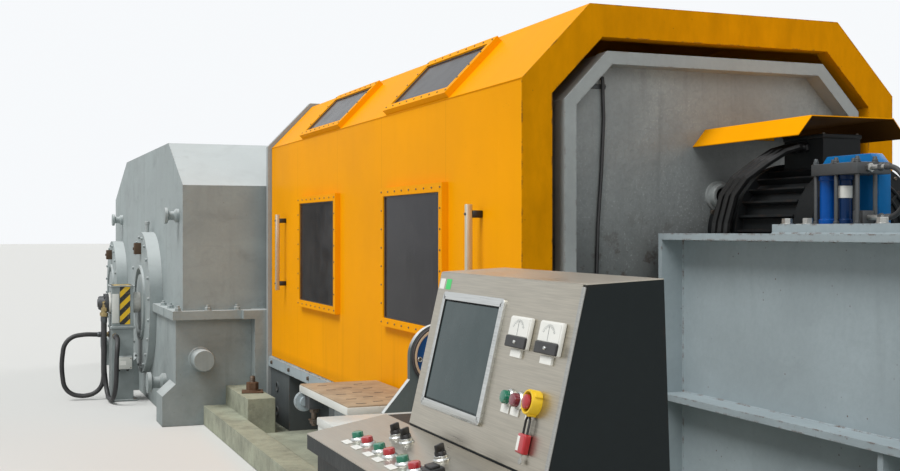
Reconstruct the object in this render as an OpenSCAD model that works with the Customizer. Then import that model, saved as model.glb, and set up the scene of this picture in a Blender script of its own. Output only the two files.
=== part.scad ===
// Tube rolling mill stand: a crank drive housing, a rolling stand under a sliding hood,
// a drive and clamp on the run-out bed, a side table with a guide wheel, and its desk.
// X runs along the mill (+X towards the run-out), Y across it, Z up from the floor.
// The origin is on the floor, on the mill's centre line, below the hood's run-out end.

/* [Hood] */
// Length of the sliding hood along the mill
hood_length = 4970; // [4200:10:5600]
// Width over the hood's side sheets
hood_width = 2088; // [1900:2:2300]
// Height of the hood's lower edge above the floor
hood_sill_z = 581; // [520:1:640]
// Height of the hood from its lower edge to its roof
hood_height = 2088; // [1900:2:2300]
// Width of the sloped roof corner
chamfer_run = 345; // [250:1:450]
// Height of the sloped roof corner
chamfer_rise = 359; // [250:1:450]
// Thickness of the hood's sheet
hood_sheet = 6; // [4:1:10]
// Width of the band around the hood's run-out end
ring_band = 152; // [110:1:170]
// Depth of that band along the mill
ring_depth = 90; // [50:5:150]
// Width of the stiffening band at the drive end
far_band = 60; // [40:1:90]
// Travel of the hood when it is pushed open
hood_travel = 1500; // [600:10:1600]
// Running gap between the hood's lower edge and its rails
hood_seat = 0.3; // [0.2:0.1:1]

/* [Windows] */
// Length of a side window over its frame
window_length = 1030; // [700:10:1150]
// Height of a side window over its frame
window_height = 820; // [600:10:950]
// Height of a side window's lower edge above the floor
window_z = 1055; // [950:5:1100]
// Distance from the hood's run-out end to its first window
window_inset = 915; // [900:5:1100]
// Distance from one window to the next along the hood
window_pitch = 2015; // [1700:5:2200]
// Width of a window frame's flat
frame_band = 50; // [35:1:70]
// Height that a window frame stands out from the sheet
frame_proud = 36; // [20:1:45]
// Thickness of a window's pane
pane_thick = 8; // [5:1:12]
// Size of a roof window over its frame, up the slope
roof_window_rise = 435; // [300:5:440]

/* [Handles] */
// Length of a pull handle
handle_length = 600; // [400:10:800]
// Height of a pull handle's lower end above the floor
handle_z = 1150; // [1000:10:1300]
// Distance from the hood's end to its handle
handle_inset = 467; // [300:1:500]
// Distance from the sheet to the handle's bar
handle_reach = 52; // [50:1:90]

/* [Hood rails] */
// Width of a rail beam
rail_width = 120; // [90:1:160]
// Height of a rail beam
rail_height = 78; // [60:1:100]
// Distance that a rail beam stands out past the hood's sheet
rail_overhang = 26; // [10:1:40]
// Length of a column under the rails
column_length = 630; // [400:10:800]

/* [Floor works] */
// Thickness of the concrete bed below the machine
slab_thick = 50; // [30:5:90]
// Height of the kerb beside the machine
kerb_height = 160; // [120:5:200]
// Height of the anchor pier
pier_height = 320; // [260:5:380]
// Length of the anchor pier
pier_length = 900; // [700:10:1200]
// Half width of the floor works over the kerbs
kerb_outer = 1570; // [1500:1:1640]
// Width of a kerb
kerb_width = 185; // [150:1:230]

/* [Crank housing] */
// Length of the crank housing along the mill
crank_length = 5300; // [4800:10:5800]
// Width of the crank housing's lower half
crank_base_width = 3600; // [3520:10:3660]
// Step on each side from the lower half to the upper half
cover_step = 58; // [40:1:90]
// Height of the joint between the two halves
split_z = 921; // [880:1:960]
// Thickness of each flange plate at the joint
flange_thick = 36; // [24:1:48]
// Distance that the flange stands out from the upper half
flange_overhang = 96; // [80:1:120]
// Height of the upper half's shoulder above the floor
crank_shoulder_z = 2003; // [1900:1:2100]
// Height of the crank housing
crank_height = 2407; // [2300:1:2500]
// Length of the roof slope at the hood's end
near_slope = 820; // [600:10:1000]
// Length of the roof slope at the far end
far_slope = 1210; // [900:10:1400]
// Width of the neck that joins the crank housing to the portal
neck_width = 2340; // [2000:10:2500]
// Distance from the portal's face to the crank housing's face
neck_length = 160; // [120:5:220]
// Radius of the crank shaft's bearing cover
cover_radius = 680; // [600:5:740]
// Radius of the pinion shaft's bearing cover
pinion_radius = 570; // [480:5:600]
// Depth of a bearing cover
cover_depth = 120; // [105:1:150]
// Height of the crank shaft above the floor
shaft_z = 930; // [900:1:960]
// Distance from the hood's end face of the housing to the crank shaft
crank_shaft_x = 1830; // [1700:5:1900]
// Distance between the crank shaft and the pinion shaft
shaft_pitch = 2740; // [2600:5:2900]
// Radius of the crank shaft's end
shaft_radius = 100; // [70:1:130]

/* [Portal] */
// Thickness of the portal frame along the mill
portal_thick = 60; // [40:1:90]
// Width of the portal frame's band
portal_band = 130; // [90:1:170]
// Distance that the portal stands out past the hood's outline
portal_proud = 30; // [10:1:50]
// Gap between the portal and the hood's drive end
portal_gap = 12; // [8:1:30]

/* [Rolling stand] */
// Length of the rolling stand along the mill
stand_length = 1100; // [800:10:1400]
// Width of the rolling stand
stand_width = 1180; // [900:10:1300]
// Height of the rolling stand above its ways
stand_height = 1150; // [900:10:1300]
// Distance from the hood's drive end to the rolling stand
stand_inset = 1500; // [1200:10:2200]
// Radius of a working roll
roll_radius = 190; // [140:1:220]
// Height of the pass line above the floor
pass_z = 1130; // [1080:1:1180]
// Height of the mill bed above the floor
bed_z = 500; // [440:1:560]
// Width of the mill bed
mill_bed_width = 1600; // [1300:10:1700]

/* [End housing] */
// Gap between the hood's band and the end housing's trim
trim_gap = 63; // [40:1:90]
// Width of the trim around the end plate
trim_band = 60; // [40:1:90]
// Distance that the end plate lies behind its trim
plate_recess = 100; // [60:5:140]
// Length of the end housing along the mill
end_housing_length = 420; // [300:10:600]

/* [Drive motor] */
// Radius of the drive motor over its fins
motor_radius = 310; // [260:5:320]
// Distance from the hood's end to the near end of the motor's body
motor_start = 250; // [200:10:300]
// Distance from the hood's end to the motor's far end cover
motor_reach = 800; // [700:10:815]
// Radius of the lantern between the motor and the end plate
lantern_radius = 200; // [150:10:250]
// Height of the motor's axis
motor_z = 1620; // [1560:1:1660]
// Distance of the motor's axis from the mill's centre line
motor_y = 200; // [150:1:250]
// Height of the motor's canopy above the floor
canopy_z = 2115; // [2100:5:2160]
// Width of the canopy's flat top
canopy_top = 435; // [400:5:500]
// Distance from the hood's end to the canopy's far end
canopy_reach = 710; // [600:10:800]
// Width of each sloped lip of the canopy
canopy_lip = 70; // [50:5:100]
// Thickness of the canopy's sheet
canopy_sheet = 5; // [3:1:8]

/* [Run-out bed] */
// Length of one bay of the run-out bed
bay_length = 1460; // [1300:10:1700]
// Number of bays
bays = 2; // [2:1:3]
// Height of the run-out bed
run_bed_z = 1609; // [1560:1:1640]
// Distance of the bed's near flange edge from the mill's centre line
run_bed_front = 350; // [300:1:400]
// Distance of the bed's far flange edge from the mill's centre line
run_bed_back = 750; // [650:1:800]
// Thickness of the bed's plates
bed_plate = 30; // [20:1:40]
// Distance that the bed's flanges stand out past the webs
bed_flange = 117; // [80:1:140]
// Distance that the bed's flanges reach in past the webs
bed_flange_in = 60; // [40:1:64]
// Height of the bed's middle flange
middle_flange_z = 850; // [780:1:900]
// Distance from the hood's end to the bed's end plate
run_bed_x = 20; // [10:1:60]
// Distance from the bed's end to the mounting plate on it
mount_plate_inset = 815; // [800:5:950]
// Thickness of the mounting plate
mount_plate_thick = 38; // [25:1:50]

/* [Clamp unit] */
// Height of the clamp's cylinders
clamp_height = 187; // [150:1:220]
// Radius of a clamp cylinder
clamp_radius = 33; // [26:1:36]
// Distance from the mounting plate's end to the clamp
clamp_inset = 207; // [160:1:260]
// Length of the clamp's steel head plate along the mill
clamp_plate_length = 266; // [240:2:320]
// Thickness of the clamp's head plate
clamp_plate_thick = 45; // [30:1:60]

/* [Side table] */
// Length of the side table
table_length = 1000; // [800:10:1150]
// Distance from the hood's end to the table's near end
table_inset = 1070; // [1000:5:1150]
// Width of the side table
table_width = 484; // [400:1:520]
// Height of the side table
table_z = 712; // [650:1:760]
// Thickness of the table top
table_thick = 50; // [35:1:70]
// Radius of the guide wheel
wheel_radius = 146; // [120:1:150]
// Radius of the bracket's round top behind the guide wheel
guard_radius = 150; // [150:1:160]
// Height of the guide wheel's axle above the table
wheel_rise = 328; // [300:1:350]

/* [Desk] */
// Length of the desk's upper cabinet
desk_length = 831; // [760:1:900]
// Distance from the hood's end to the upper cabinet
desk_x = 1873; // [1820:1:2000]
// Distance of the desk's back from the mill's centre line
desk_back = 1945; // [1900:1:2000]
// Depth of the desk at its front lip
desk_depth = 525; // [480:1:580]
// Height of the foot of the slanted panel
panel_foot_z = 1100; // [1050:1:1150]
// Height of the slanted panel along its slope
panel_rise = 419; // [380:1:440]
// Slant of the panel from upright in degrees
panel_slant = 13.1; // [8:0.1:18]
// Depth of the button shelf along its slope
shelf_depth = 237; // [200:1:260]
// Slope of the button shelf in degrees
shelf_slope = 10; // [6:0.5:14]
// Length of the desk's left wing
wing_length = 190; // [120:5:240]
// Length of the white side box
side_box_length = 266; // [200:1:320]

/* [Hidden] */
$fn = 48;
e = 1; // overlap of a cut past the face it opens
touch_gap = 0.3; // gap between round pieces that seat on each other

// Hood outline: half width, shoulder, roof and roof corner, each moved in by d
half_w = hood_width / 2;
roof_z = hood_sill_z + hood_height;
shoulder_z = roof_z - chamfer_rise;
corner_y = half_w - chamfer_run;
slope_turn = atan2(chamfer_run, chamfer_rise);
slope_length = norm([chamfer_run, chamfer_rise]);
function in_w(d) = half_w - d;
function in_shoulder(d) = shoulder_z - d * tan(slope_turn / 2);
function in_roof(d) = roof_z - d;
function in_corner(d) = corner_y - d * tan((90 - slope_turn) / 2);
function arch(d, z0) = [
    [-in_w(d), z0], [in_w(d), z0], [in_w(d), in_shoulder(d)], [in_corner(d), in_roof(d)],
    [-in_corner(d), in_roof(d)], [-in_w(d), in_shoulder(d)]];

// Extrudes a Y-Z outline along X from x0 over a length
module along_x(x0, length) {
    translate([x0, 0, 0]) rotate([90, 0, 90]) linear_extrude(length) children();
}

// Extrudes an X-Z outline along Y from y0 over a width
module along_y(y0, width) {
    translate([0, y0 + width, 0]) rotate([90, 0, 0]) linear_extrude(width) children();
}

// Box between two corners
module block(a, b) {
    translate(a) cube(b - a);
}

// Cylinder that runs from y0 in the direction of dir
module y_disc(x, y0, z, r, length, dir) {
    translate([x, y0, z]) rotate([-90 * dir, 0, 0]) cylinder(r = r, h = length);
}

// Both sides of the mill
module both_sides() {
    children();
    mirror([0, 1, 0]) children();
}

// Sweeps a round tube along a list of points
function unit(v) = v / norm(v);
function heading(p, i) = unit(p[min(i + 1, len(p) - 1)] - p[max(i - 1, 0)]);
function side_of(t) = abs(t.z) > 0.9 ? unit(cross(t, [0, 1, 0])) : unit(cross(t, [0, 0, 1]));
function carried(p, i) = i == 0 ? side_of(heading(p, 0)) :
    let (t = heading(p, i), last = carried(p, i - 1)) unit(last - (last * t) * t);
tube_sides = 8;
module tube(p, r) {
    last = len(p) - 1;
    rings = [for (i = [0:last])
        let (t = heading(p, i), s = carried(p, i), up = cross(t, s))
        for (k = [0:tube_sides - 1])
        p[i] + r * (cos(k * 360 / tube_sides) * s + sin(k * 360 / tube_sides) * up)];
    skin = [for (i = [0:last - 1], k = [0:tube_sides - 1])
        let (n = (k + 1) % tube_sides, a = i * tube_sides)
        [a + k, a + k + tube_sides, a + n + tube_sides, a + n]];
    caps = [[for (k = [0:tube_sides - 1]) k], [for (k = [tube_sides - 1:-1:0]) last * tube_sides + k]];
    polyhedron(rings, concat(skin, caps), convexity = 8);
}

// Places along the mill
hood_x1 = 0;
hood_x0 = hood_x1 - hood_length;
portal_x1 = hood_x0 - portal_gap;
portal_x0 = portal_x1 - portal_thick;
crank_x1 = portal_x0 - neck_length;
crank_x0 = crank_x1 - crank_length;
rail_x1 = hood_x1 + hood_travel + ring_depth;
run_x0 = hood_x1 + run_bed_x;
run_x1 = run_x0 + bays * bay_length + bed_plate;

// Rails
rail_top = hood_sill_z - hood_seat;
strip_height = 6;
rail_z1 = rail_top - strip_height;
rail_z0 = rail_z1 - rail_height;
rail_y1 = half_w + rail_overhang;
rail_y0 = rail_y1 - rail_width;
strip_width = 40;
bed_half = mill_bed_width / 2;

module foundation() {
    color("#A9A593") {
        block([crank_x1, -kerb_outer, 0], [run_x1, kerb_outer, slab_thick]);
        both_sides() {
            block([crank_x1, kerb_outer - kerb_width, slab_thick - e], [run_x1, kerb_outer, kerb_height]);
            block([crank_x1, neck_half, slab_thick - e],
                [crank_x1 + pier_length, kerb_outer - kerb_width + e, kerb_height]);
            block([crank_x1, neck_half, kerb_height - e],
                [crank_x1 + pier_length, kerb_outer - kerb_width, pier_height]);
        }
    }
}

// Crank housing
base_half = crank_base_width / 2;
cover_half = base_half - cover_step;
flange_half = cover_half + flange_overhang;
flange_z0 = split_z - flange_thick;
flange_z1 = split_z + flange_thick;
foot_length = 350;
foot_out = 110;
foot_z = 250;
foot_top = 350;
main_x = crank_x1 - crank_shaft_x;
pinion_x = main_x - shaft_pitch;
cover_fit = 1;
neck_half = neck_width / 2;

// Round seats that the bearing covers sit in, on both sides
module cover_seats(fit) {
    both_sides() {
        y_disc(main_x, cover_half, shaft_z, cover_radius + fit, cover_depth * 2, 1);
        y_disc(pinion_x, cover_half, shaft_z, pinion_radius + fit, cover_depth * 2, 1);
    }
}

module crank_foot(x) {
    along_x(x, foot_length) polygon([[base_half - e, 0], [base_half + foot_out, 0],
        [base_half + foot_out, foot_z], [base_half - e, foot_top]]);
}

module crank_housing_base() {
    color("#8A9090") {
        difference() {
            block([crank_x0, -base_half, 0], [crank_x1, base_half, flange_z0]);
            cover_seats(cover_fit);
        }
        both_sides() for (x = [crank_x0, (crank_x0 + crank_x1 - foot_length) / 2, crank_x1 - foot_length])
            crank_foot(x);
        block([crank_x1 - e, -neck_half, slab_thick], [portal_x0, neck_half, flange_z0]);
    }
}

module split_flange() {
    color("#8F9595") difference() {
        union() {
            block([crank_x0 - flange_overhang, -flange_half, flange_z0],
                [crank_x1 + flange_overhang, flange_half, flange_z1]);
            block([crank_x1, -neck_half - flange_overhang, flange_z0],
                [portal_x0, neck_half + flange_overhang, flange_z1]);
        }
        cover_seats(cover_fit);
    }
}

module crank_housing_cover() {
    color("#8A9090") along_y(-cover_half, 2 * cover_half) polygon([[crank_x1, flange_z1],
        [crank_x1, crank_shoulder_z], [crank_x1 - near_slope, crank_height],
        [crank_x0 + far_slope, crank_height], [crank_x0, crank_shoulder_z], [crank_x0, flange_z1]]);
}

// Bearing covers: a drum, a raised inner ring and a dark annular groove
ring_share = 0.53;
groove_width = 60;
groove_depth = 70;
ring_width = 30;
ring_out = 20;
hub_out = 10;
module bearing_cover(x, r, shaft_hole) {
    inner = r * ring_share;
    bore = inner - ring_width;
    translate([x, cover_half, shaft_z]) rotate([-90, 0, 0]) rotate_extrude($fn = 96) {
        polygon([[shaft_hole, 0], [r, 0], [r, cover_depth], [inner, cover_depth],
            [inner, cover_depth + ring_out], [bore, cover_depth + ring_out],
            [bore, cover_depth - groove_depth], [bore - groove_width, cover_depth - groove_depth],
            [bore - groove_width, cover_depth + hub_out], [shaft_hole, cover_depth + hub_out]]);
    }
}

module bearing_covers() {
    color("#9AA0A0") {
        both_sides() bearing_cover(main_x, cover_radius, shaft_radius + touch_gap);
        both_sides() bearing_cover(pinion_x, pinion_radius, 0);
    }
}

// Lifting trunnions: a spool with a wide rim
trunnion_z = 1750;
trunnion_r = 68;
trunnion_out = 120;
low_trunnion_z = 300;
low_trunnion_r = 92;
low_trunnion_out = 160;
trunnion_inset = 230;
far_trunnion_inset = far_slope * 0.65;
low_trunnion_gap = low_trunnion_r + 20;
module trunnion(x, y, z, r, out) {
    translate([x, y, z]) rotate([-90, 0, 0]) rotate_extrude() polygon([[0, 0], [r * 0.85, 0],
        [r * 0.85, out * 0.2], [r * 0.55, out * 0.35], [r * 0.55, out * 0.7], [r, out * 0.8],
        [r, out], [0, out]]);
}

module lifting_trunnions() {
    color("#9AA0A0") both_sides() {
        for (x = [crank_x1 - trunnion_inset, crank_x0 + far_trunnion_inset])
            trunnion(x, cover_half, trunnion_z, trunnion_r, trunnion_out);
        for (x = [crank_x1 - foot_length - trunnion_inset, crank_x0 + foot_length + low_trunnion_gap])
            trunnion(x, base_half, low_trunnion_z, low_trunnion_r, low_trunnion_out);
    }
}

boss_r = 88;
boss_out = 215;
boss_y = 1600;
boss_z = 555;
module side_boss() {
    color("#8F9595") both_sides() translate([crank_x1, boss_y, boss_z]) rotate([0, 90, 0])
        cylinder(r = boss_r, h = boss_out);
}

// Rotary union bracket beside the crank shaft's end
bracket_half = 140;
bracket_gap = 145;
bracket_depth = 200;
bracket_x0 = main_x - bracket_half;
bracket_x1 = main_x + bracket_half;
bracket_y1 = -base_half - bracket_gap;
bracket_y0 = bracket_y1 - bracket_depth;
bracket_z = 1100;
bracket_hole_r = shaft_radius + 10;
junction_z0 = 310;
junction_z1 = 430;
junction_out = 90;
junction_inset = 20;
module union_bracket() {
    color("#8A9090") {
        difference() {
            block([bracket_x0, bracket_y0, 0], [bracket_x1, bracket_y1, bracket_z]);
            y_disc(main_x, bracket_y1 + e, shaft_z, bracket_hole_r, bracket_depth + 2 * e, -1);
        }
        block([bracket_x1 - e, bracket_y0 + junction_inset, junction_z0],
            [bracket_x1 + junction_out, bracket_y1 - junction_inset, junction_z1]);
    }
}

// Hoses of the rotary union: each hangs from a port, turns up from the floor and ends in a plug
union_r = 55;
union_out = 120;
port_r = 26;
port_length = 70;
hose_pitch = 110;
hose_r = 22;
hose_turn = 165; // radius of a hose's bends
hose_floor = 18; // clearance below a hose's loop
hose_top_z = shaft_z - union_r - port_length;
hose_low_z = hose_floor + hose_r + hose_turn;
hose_back_z = 620;
hose_leg_z = hose_back_z - hose_turn;
hose_y = bracket_y0 - union_out / 2;
plug_out = 50;
hose_a = [main_x + hose_pitch / 2, [1, 0], 60, 90, bracket_half + plug_out - hose_pitch / 2];
hose_b = [main_x - hose_pitch / 2, [0, -1], 40, -55, plug_out - union_out / 2];
function hose_legs(run, finish) = concat([[0, hose_top_z], [0, (hose_top_z + hose_low_z) / 2],
    [0, hose_low_z + hose_turn / 2], [0, hose_low_z]],
    [for (t = [30:30:90]) hose_turn * [1 - cos(t), -sin(t)] + [0, hose_low_z]],
    [for (t = [90:30:150]) hose_turn * [1 - cos(t), -sin(t)] + [run, hose_low_z]],
    [[2 * hose_turn + run, hose_low_z], [2 * hose_turn + run, hose_leg_z]],
    [for (t = [30:30:90]) hose_turn * [1 + cos(t), sin(t)] + [run, hose_leg_z]],
    [[finish + hose_turn / 4, hose_back_z], [finish, hose_back_z]]);
function hose_lean(side, i, last) = side * max(0, min(1, (i - 2) / (last - 5)));
function hose(h) = let (legs = hose_legs(h[2], h[4]), last = len(legs) - 1)
    [for (i = [0:last]) let (lean = hose_lean(h[3], i, last))
        [h[0] + h[1].x * legs[i][0] - h[1].y * lean, hose_y + h[1].y * legs[i][0] + h[1].x * lean,
            legs[i][1]]];
module hose_plug(h) {
    route = hose(h);
    tip = route[len(route) - 1];
    tube([tip, tip - plug_out * [h[1].x, h[1].y, 0]], port_r);
}

module rotary_union() {
    color("#B08D57") {
        y_disc(main_x, -cover_half, shaft_z, shaft_radius, -cover_half - bracket_y0, -1);
        y_disc(main_x, bracket_y0, shaft_z, union_r, union_out, -1);
        for (h = [hose_a, hose_b]) translate([h[0], hose_y, hose_top_z])
            cylinder(r = port_r, h = union_r + port_length);
        translate([hose_b[0], hose_y, shaft_z]) rotate([0, 90, 0]) cylinder(r = port_r, h = hose_pitch);
        hose_plug(hose_a);
        hose_plug(hose_b);
    }
}

module union_hose_a() {
    color("#17181A") tube(hose(hose_a), hose_r);
}

module union_hose_b() {
    color("#17181A") tube(hose(hose_b), hose_r);
}

// Mill bed with its two ways
way_y = 430;
way_width = 160;
way_height = 120;
way_z = bed_z + way_height;
way_start = 60;
way_end = 900;
module mill_bed() {
    color("#7E878B") {
        block([hood_x0, -bed_half, slab_thick], [hood_x1, bed_half, bed_z]);
        both_sides() block([hood_x0 + way_start, way_y - way_width / 2, bed_z - e],
            [hood_x1 - way_end, way_y + way_width / 2, way_z]);
    }
}

module hood_rails() {
    color("#8E979B") both_sides() {
        block([portal_x1, rail_y0, rail_z0], [rail_x1, rail_y1, rail_z1]);
        block([portal_x1, half_w - strip_width + hood_sheet, rail_z1 - e],
            [rail_x1, half_w + hood_sheet, rail_top]);
    }
}

// Columns under the rails
column_set = 20;
column_y1 = rail_y1 - column_set;
column_pitch = 1780;
column_x = [hood_x0, hood_x0 + column_pitch, hood_x0 + 2 * column_pitch, hood_x1 - column_length,
    rail_x1 - column_length];
column_hole_r = 32;
column_hole_x = 230;
column_hole_z = [150, 350];
column_hole_depth = 80;
module rail_column(x) {
    difference() {
        block([x, bed_half, slab_thick], [x + column_length, column_y1, rail_z0]);
        for (z = column_hole_z) y_disc(x + column_hole_x, column_y1 - column_hole_depth, z, column_hole_r,
            column_hole_depth + e, 1);
    }
}
module rail_columns() {
    color("#6F787C") both_sides() for (x = column_x) rail_column(x);
}

// Portal frame between the crank housing and the hood
portal_z0 = rail_z1;
module portal_frame() {
    color("#B4BABD") along_x(portal_x0, portal_thick) difference() {
        polygon(arch(-portal_proud, portal_z0));
        polygon(arch(portal_band - portal_proud, portal_z0 - e));
    }
    color("#B4BABD") both_sides() block([portal_x0, half_w + portal_proud - portal_band, slab_thick],
        [portal_x1, half_w + portal_proud, portal_z0 + e]);
}

// Rolling stand on the ways
stand_x0 = hood_x0 + stand_inset;
stand_x1 = stand_x0 + stand_length;
stand_mid = (stand_x0 + stand_x1) / 2;
stand_half = stand_width / 2;
post_thick = 260;
roll_gap = 2;
chock_margin = 22;
chock_half = roll_radius + chock_margin;
chock_low_z = pass_z - roll_gap / 2 - roll_radius;
chock_high_z = pass_z + roll_gap / 2 + roll_radius;
mill_window_z0 = chock_low_z - chock_half - touch_gap;
mill_window_z1 = chock_high_z + chock_half + touch_gap;
mill_window_half = chock_half + touch_gap;
module roll_stand() {
    color("#5F7078") difference() {
        block([stand_x0, -stand_half, way_z], [stand_x1, stand_half, way_z + stand_height]);
        block([stand_mid - mill_window_half, -stand_half - e, mill_window_z0],
            [stand_mid + mill_window_half, stand_half + e, mill_window_z1]);
        block([stand_x0 - e, -stand_half + post_thick, mill_window_z0],
            [stand_x1 + e, stand_half - post_thick, mill_window_z1]);
    }
}

// Two working rolls with their chocks, which nearly meet at the pass line
roll_end_gap = 20;
chock_over = 30;
roll_half = stand_half - post_thick - roll_end_gap;
module chock(z, way) {
    z0 = z - roll_radius - (way < 0 ? chock_margin : 0);
    block([stand_mid - chock_half, stand_half - post_thick - chock_over, z0],
        [stand_mid + chock_half, stand_half + chock_over, z0 + 2 * roll_radius + chock_margin]);
}
module working_rolls() {
    color("#B9BCBE") {
        y_disc(stand_mid, -roll_half, chock_low_z, roll_radius, 2 * roll_half, 1);
        y_disc(stand_mid, -roll_half, chock_high_z, roll_radius, 2 * roll_half, 1);
        both_sides() {
            chock(chock_low_z, -1);
            chock(chock_high_z, 1);
        }
    }
}

// Connecting rods from the crank housing to the rolling stand
rod_y = 380;
rod_width = 90;
rod_height = 200;
module connecting_rods() {
    color("#7C8488") both_sides() block([crank_x1, rod_y - rod_width / 2, pass_z - rod_height / 2],
        [stand_x0, rod_y + rod_width / 2, pass_z + rod_height / 2]);
}

// End housing that stays behind when the hood slides
trim_in = ring_band + trim_gap;
end_x1 = hood_x1 - plate_recess;
end_x0 = end_x1 - end_housing_length;
trim_seat = 4;
module end_housing() {
    color("#7F8689") along_x(end_x0, end_housing_length) polygon(arch(trim_in + trim_seat, bed_z));
}

module end_trim() {
    color("#9DA3A5") along_x(end_x1, plate_recess) difference() {
        polygon(arch(trim_in, bed_z));
        polygon(arch(trim_in + trim_band, bed_z - e));
    }
}

// Cable that hangs from a hook on the end plate and is clipped down it
cable_r = 9;
cable_y = -589;
cable_top = 2340;
cable_x = end_x1 + cable_r + 3;
cable_side = 34;
cable_low_z = bed_z + 170;
cable_route = [[end_x1, cable_y, cable_top], [end_x1 + 14, cable_y, cable_top],
    [cable_x + 6, cable_y, cable_top - 24], [cable_x, cable_y + 4, cable_top - 80],
    [cable_x, cable_y + 8, 2150], [cable_x, cable_y - 4, 1900], [cable_x, cable_y - 22, 1650], [cable_x, cable_y - 30, 1400],
    [cable_x, cable_y - cable_side, 1150], [cable_x, cable_y - cable_side, 900],
    [cable_x, cable_y - cable_side, cable_low_z + 70], [cable_x - 2, cable_y - cable_side, cable_low_z + 20],
    [end_x1 + 3, cable_y - cable_side, cable_low_z], [end_x1, cable_y - cable_side, cable_low_z]];
module plate_cable() {
    color("#141516") tube(cable_route, cable_r);
}

// Drive motor: a finned body on a lantern, with a terminal box and an end cover
lantern_x = end_x1;
body_x0 = hood_x1 + motor_start;
body_x1 = hood_x1 + motor_reach;
motor_core = motor_radius - 40;
motor_flange = 40;
cover_length = 120;
cover_in = 20;
fin_count = 28;
fin_thick = 10;
fin_height = 30;
terminal_inset = 120;
terminal_length = 270;
terminal_half = 100;
terminal_rise = 110;
terminal_x0 = body_x0 + terminal_inset;
terminal_y0 = motor_y - terminal_half;
terminal_z1 = motor_z + motor_radius + terminal_rise;
module x_disc(x0, x1, r) {
    translate([x0, 0, 0]) rotate([0, 90, 0]) cylinder(r = r, h = x1 - x0);
}
module motor_fins() {
    for (k = [0:fin_count - 1]) rotate([k * 360 / fin_count, 0, 0]) block(
        [body_x0 + motor_flange - e, -fin_thick / 2, motor_core - e],
        [body_x1 - cover_length + e, fin_thick / 2, motor_core + fin_height]);
}
module drive_motor() {
    color("#1B1D1F") translate([0, motor_y, motor_z]) {
        x_disc(lantern_x, body_x0 + e, lantern_radius);
        x_disc(body_x0, body_x0 + motor_flange, motor_radius);
        x_disc(body_x0, body_x1, motor_core);
        x_disc(body_x1 - cover_length, body_x1, motor_radius - cover_in);
        motor_fins();
    }
    color("#1B1D1F") block([terminal_x0, terminal_y0, motor_z + motor_core / 2],
        [terminal_x0 + terminal_length, motor_y + terminal_half, terminal_z1]);
}

// Motor cables, side by side, from the terminal box down in front of the motor to the end plate
motor_cable_r = 18;
cable_gap = 8;
motor_cable_y = motor_y - motor_radius - motor_cable_r - cable_gap;
motor_cable_z = 1250;
gland_z = terminal_z1 - 50;
function motor_cable(k) = let (x = terminal_x0 + 48 * k, low = motor_cable_z + 42 * k) [
    [x + 60, terminal_y0, gland_z], [x + 60, terminal_y0 - 45, gland_z],
    [x + 46, terminal_y0 - 100, gland_z - 16], [x + 6, terminal_y0 - 160, gland_z - 62],
    [x - 70, motor_cable_y + 16, gland_z - 130], [x - 140, motor_cable_y, motor_z + 165],
    [x - 196, motor_cable_y, motor_z + 40], [x - 222, motor_cable_y, motor_z - 100],
    [x - 240, motor_cable_y, low + 90], [x - 270, motor_cable_y, low + 32],
    [x - 320, motor_cable_y, low], [lantern_x, motor_cable_y, low]];
module motor_cables() {
    color("#141516") for (k = [0:2]) tube(motor_cable(k), motor_cable_r);
}

// Bent sheet canopy over the motor
canopy_x0 = end_x1;
canopy_x1 = hood_x1 + canopy_reach;
canopy_y = motor_y + 4;
canopy_fall = canopy_lip * 1.2;
canopy_y0 = canopy_y - canopy_top / 2;
canopy_y1 = canopy_y + canopy_top / 2;
module canopy_outline(d) {
    polygon([[canopy_y0 - canopy_lip, canopy_z - canopy_fall - d], [canopy_y0, canopy_z - d],
        [canopy_y1, canopy_z - d], [canopy_y1 + canopy_lip, canopy_z - canopy_fall - d],
        [canopy_y1 + canopy_lip, canopy_z - canopy_fall], [canopy_y1, canopy_z],
        [canopy_y0, canopy_z], [canopy_y0 - canopy_lip, canopy_z - canopy_fall]]);
}
module motor_canopy() {
    color("#E8A114") along_x(canopy_x0, canopy_x1 - canopy_x0) canopy_outline(canopy_sheet);
}

// Run-out bed: two welded girders with end plates
web_front = -run_bed_front + bed_flange;
web_back = run_bed_back - bed_flange;
front_flange_y = web_front + bed_flange_in;
back_flange_y = web_back - bed_flange_in;
girder_x0 = run_x0 + bed_plate;
girder_x1 = run_x1 - bed_plate;
run_foot_z = slab_thick;
rib_set = 15;
tie_thick = 2 * bed_plate;
module girder(web_y, flange_y0, flange_y1) {
    block([girder_x0, web_y, run_foot_z], [girder_x1, web_y + bed_plate, run_bed_z]);
    block([girder_x0, flange_y0, run_bed_z - bed_plate], [girder_x1, flange_y1, run_bed_z]);
    block([girder_x0, flange_y0, middle_flange_z - bed_plate / 2],
        [girder_x1, flange_y1, middle_flange_z + bed_plate / 2]);
    block([girder_x0, flange_y0, run_foot_z], [girder_x1, flange_y1, run_foot_z + bed_plate]);
    for (k = [1:bays - 1]) block([run_x0 + k * bay_length, flange_y0 + rib_set, run_foot_z],
        [run_x0 + k * bay_length + bed_plate, flange_y1 - rib_set, middle_flange_z]);
}
module bed_girders() {
    color("#8E9BA3") {
        girder(web_front, -run_bed_front, front_flange_y);
        girder(web_back - bed_plate, back_flange_y, run_bed_back);
        for (x = [girder_x0 + bay_length / 2, girder_x1 - bay_length / 2]) block(
            [x - tie_thick / 2, web_front + e, run_foot_z + bed_plate],
            [x + tie_thick / 2, web_back - e, middle_flange_z - tie_thick]);
    }
}

module bed_end_plates() {
    color("#8E9BA3") {
        block([run_x0, -run_bed_front, run_foot_z], [girder_x0, front_flange_y, run_bed_z]);
        block([run_x0, back_flange_y, run_foot_z], [girder_x0, run_bed_back, run_bed_z]);
        block([girder_x1, -run_bed_front, run_foot_z], [run_x1, run_bed_back, run_bed_z]);
    }
}

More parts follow.
